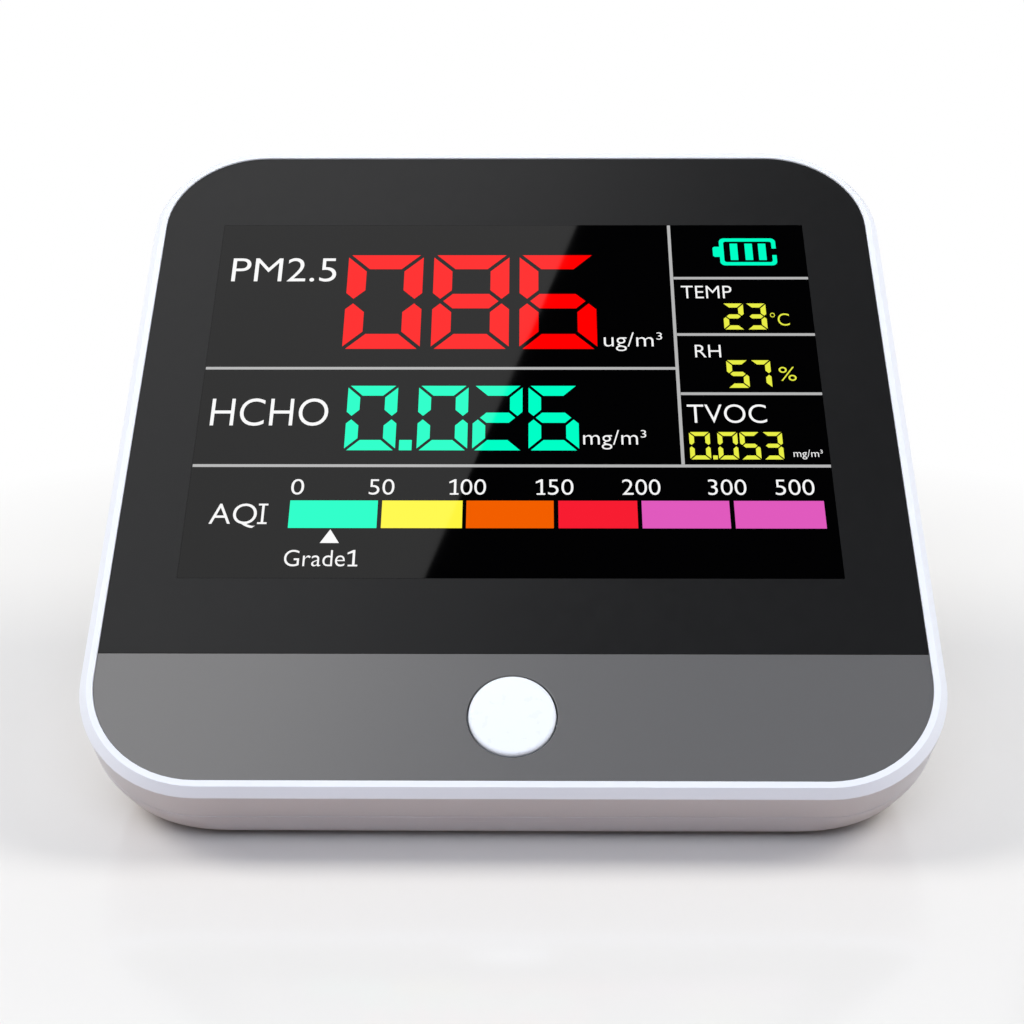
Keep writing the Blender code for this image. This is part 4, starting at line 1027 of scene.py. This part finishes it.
def finish_inner_nodes():
    """Give every CAD node that stays its own procedural material, by its slot in the record."""
    ivory = moulded("ivory_plastic", (0.72, 0.69, 0.6), 0.42)
    looks = {
        "black_plastic": BLACK_PLASTIC, "ivory_plastic": ivory, "steel": TIN_PLATE,
        "screw_steel": ZINC,
        "switch_red": moulded("switch_plunger", (0.45, 0.03, 0.02), 0.45),
        "lcd_cell": glass_cell(), "light_guide": light_guide(), "flex_film": flex_film(),
        "board_green": circuit_board(), "cell_foil": crinkled_foil(), "dust_net": woven_net(),
        "black_foam": moulded("black_foam", (0.03, 0.03, 0.03), 0.9, 0.8, 0.08),
        "lead_red": moulded("red_sleeve", (0.5, 0.02, 0.02), 0.4, 1.5, 0.01),
        "lead_black": moulded("black_sleeve", (0.02, 0.02, 0.02), 0.4, 1.5, 0.01),
        "lead_white": moulded("white_sleeve", (0.75, 0.75, 0.73), 0.4, 1.5, 0.01),
        "sensor_blue": moulded("sensor_case_blue", (0.04, 0.1, 0.33), 0.42),
        "laser_brass": BRASS,
        "sensor_white": moulded("sensor_white", (0.78, 0.78, 0.76), 0.45),
    }
    for row in frame["record"]["subparts"]:
        look = looks.get(row["material_slot"])
        if look:
            node = frame["nodes"][row["node"]]
            for place in node.material_slots:
                place.material = look


# Stage, light and camera

CAMERA_AT = Vector((1.68, -220.203, 94.009)) * MM
CAMERA_TURN = (73.844, 0.078, 0.4975)  # degrees about X, Y and Z
CAMERA_LENS = 59.43
CAMERA_SENSOR = 36

FLOOR_HALF = 12
FLOOR_TONE = (0.858, 0.82, 0.756)
FLOOR_BOUNCE = (0.31, 0.2, 0.155)
FLOOR_FADE = (0.068, 0.17)  # metres from the object's centre
CARD_HEIGHT = 0.5
CARD_EDGE = ((8.8, 36.7, 0), (-11, -22.7, 0))  # where it is mirrored, in FACE
CARD_REACH = 1.5
HIGH_BEHIND = (0, 0.5, 0.866)
MIRRORED_WORLD = (0.12, 0.76)  # strength low in front and high behind
DIFFUSE_WORLD = (0.55, 0.185)  # strength at the horizon and overhead
WORLD_TINT = (0.86, 0.97, 1.2)
FRONT_TINT = (0.89, 0.98, 1.2)
LIGHT_TARGET = (0, 0, 0.03)


def camera():
    data = bpy.data.cameras.new("camera")
    data.lens = CAMERA_LENS
    data.sensor_width = CAMERA_SENSOR
    data.clip_start = 0.01
    data.clip_end = 60
    made = bpy.data.objects.new("camera", data)
    bpy.context.scene.collection.objects.link(made)
    made.location = CAMERA_AT
    made.rotation_euler = [math.radians(angle) for angle in CAMERA_TURN]
    bpy.context.scene.camera = made


def stage_plane(name, corners, look):
    mesh = bpy.data.meshes.new(name)
    mesh.from_pydata(corners, [], [list(range(len(corners)))])
    mesh.materials.append(look)
    made = bpy.data.objects.new(name, mesh)
    bpy.context.scene.collection.objects.link(made)
    return made


def floor():
    """Pale glossy floor that fades into the white backdrop far from the object.

    To the light it bounces onto the object it is a duller, warmer floor.
    """
    look = Look("studio_floor", FLOOR_TONE, 0.1)
    path = look.node("ShaderNodeLightPath")
    look.tint(path.outputs["Is Diffuse Ray"], FLOOR_BOUNCE)
    position = look.node("ShaderNodeNewGeometry").outputs["Position"]
    distance = look.node("ShaderNodeVectorMath", operation="LENGTH")
    look.link(position, distance.inputs[0])
    fade = look.remap(distance.outputs["Value"], 0, 1, *FLOOR_FADE)
    white = look.node("ShaderNodeEmission")
    white.inputs["Color"].default_value = (1, 1, 1, 1)
    mix = look.node("ShaderNodeMixShader")
    look.link(fade, mix.inputs["Fac"])
    look.link(look.shader.outputs["BSDF"], mix.inputs[1])
    look.link(white.outputs["Emission"], mix.inputs[2])
    look.link(mix.outputs["Shader"], look.tree.nodes["Material Output"].inputs["Surface"])
    h = FLOOR_HALF
    stage_plane("floor", [(-h, -h, 0), (h, -h, 0), (h, h, 0), (-h, h, 0)], look.made)


def background(tree, level, colour, ends, strengths):
    """Backdrop light whose strength follows level between two ends."""
    strength = tree.nodes.new("ShaderNodeMapRange")
    for socket, number in zip(REMAP_SOCKETS, (*ends, *strengths)):
        strength.inputs[socket].default_value = number
    tree.links.new(level, strength.inputs["Value"])
    made = tree.nodes.new("ShaderNodeBackground")
    made.inputs["Color"].default_value = (*colour, 1)
    tree.links.new(strength.outputs["Result"], made.inputs["Strength"])
    return made.outputs["Background"]


def world():
    """White backdrop.

    Mirrored, it is dim low in front. As diffuse light, it is brightest at the horizon.
    """
    made = bpy.data.worlds.new("studio")
    bpy.context.scene.world = made
    made.use_nodes = True
    tree = made.node_tree
    tree.nodes.clear()
    output = tree.nodes.new("ShaderNodeOutputWorld")
    direction = tree.nodes.new("ShaderNodeTexCoord").outputs["Generated"]
    dot = tree.nodes.new("ShaderNodeVectorMath")
    dot.operation = "DOT_PRODUCT"
    dot.inputs[1].default_value = HIGH_BEHIND
    tree.links.new(direction, dot.inputs[0])
    parts = tree.nodes.new("ShaderNodeSeparateXYZ")
    tree.links.new(direction, parts.inputs["Vector"])
    white = tree.nodes.new("ShaderNodeBackground")
    white.inputs["Color"].default_value = (1, 1, 1, 1)
    path = tree.nodes.new("ShaderNodeLightPath")
    mirrored = background(tree, dot.outputs["Value"], (1, 1, 1), (-0.5, 0.5), MIRRORED_WORLD)
    diffuse = background(tree, parts.outputs["Z"], WORLD_TINT, (0, 0.5), DIFFUSE_WORLD)
    shader = mirrored
    seen = white.outputs["Background"]
    for flag, other in (("Is Diffuse Ray", diffuse), ("Is Camera Ray", seen)):
        mix = tree.nodes.new("ShaderNodeMixShader")
        tree.links.new(path.outputs[flag], mix.inputs["Fac"])
        tree.links.new(shader, mix.inputs[1])
        tree.links.new(other, mix.inputs[2])
        shader = mix.outputs["Shader"]
    tree.links.new(shader, output.inputs["Surface"])


def on_card(point, eye):
    """Where the ray from the camera's mirror image through a point of the face meets the card."""
    return eye + (point - eye) * (CARD_HEIGHT - eye.z) / (point.z - eye.z)


def overhead_card():
    """Black card above, seen only in reflections, whose soft slanting edge crosses the window."""
    outward = -INTO_FACE
    eye = CAMERA_AT - 2 * (CAMERA_AT - face_origin).dot(outward) * outward
    top, bottom = (on_card(FACE @ Vector(place), eye) for place in CARD_EDGE)
    along = (top - bottom).normalized()
    across = Vector((-along.y, along.x, 0))
    if across.x < 0:
        across = -across
    near, far = bottom - along * CARD_REACH, bottom + along * CARD_REACH
    corners = [near, far, far + across * CARD_REACH, near + across * CARD_REACH]
    look = Look("overhead_card", (0, 0, 0), 1)
    look.set("Specular IOR Level", 0)
    card = stage_plane("overhead_card", corners, look.made)
    card.visible_camera = False
    card.visible_diffuse = False
    card.visible_shadow = False
    card.visible_transmission = False


def area_light(name, place, size, power, colour=(1, 1, 1)):
    """Softbox that faces the object and isn't mirrored in it."""
    data = bpy.data.lights.new(name, "AREA")
    data.shape = "RECTANGLE"
    data.size, data.size_y = size
    data.energy = power
    data.color = colour
    made = bpy.data.objects.new(name, data)
    bpy.context.scene.collection.objects.link(made)
    made.location = place
    made.rotation_mode = "QUATERNION"
    aim = Vector(LIGHT_TARGET) - Vector(place)
    made.rotation_quaternion = aim.to_track_quat("-Z", "Y")
    made.visible_glossy = False
    made.visible_camera = False


def studio():
    bpy.context.scene.view_settings.view_transform = "Standard"
    floor()
    world()
    overhead_card()
    area_light("front_softbox", (0, -0.594, 0.535), (0.6, 0.35), 2.6, FRONT_TINT)
    area_light("left_softbox", (-0.56, 0, 0.56), (0.35, 0.35), 2.6)
    area_light("right_softbox", (0.56, 0, 0.56), (0.35, 0.35), 2.5)
    area_light("strip_light", (0, -0.04, 0.6), (2.0, 0.24), 0.4)


WHITE = shell_plastic()
SATIN = satin_panel()
GLOSS = display_gloss()
STRIP = metallic_strip()
BUTTON = button_plastic()
RUBBER = rubber()
BLACK_PLASTIC = moulded("black_plastic", (0.025, 0.025, 0.027), 0.5)
TIN_PLATE = brushed("tin_plate", (0.6, 0.6, 0.61), 0.3)
ZINC = brushed("zinc_plating", (0.52, 0.53, 0.55), 0.32, (1, 1, 0.2))
BRASS = brushed("turned_brass", (0.62, 0.45, 0.16), 0.28, (0.05, 1, 1))
LIT = {
    "red": lit("lit_red", (1.0, 0.0, 0.0)),
    "green": lit("lit_green", (0.0, 1.0, 0.55)),
    "yellow": lit("lit_yellow", (1.0, 0.9, 0.05)),
    "lemon": lit("lit_lemon", (0.8, 0.84, 0.06)),
    "orange": lit("lit_orange", (0.87, 0.11, 0.0)),
    "crimson": lit("lit_crimson", (0.91, 0.012, 0.03)),
    "magenta": lit("lit_magenta", (0.73, 0.1, 0.5)),
    "white": lit("lit_white", (0.92, 0.92, 0.92)),
    "line": lit("lit_line", (0.45, 0.45, 0.45)),
}

camera()
bezel()
rear_cover()
usb_socket()
case_screws()
feet()
face_panels()
button()
display_graphics()
finish_inner_nodes()
studio()
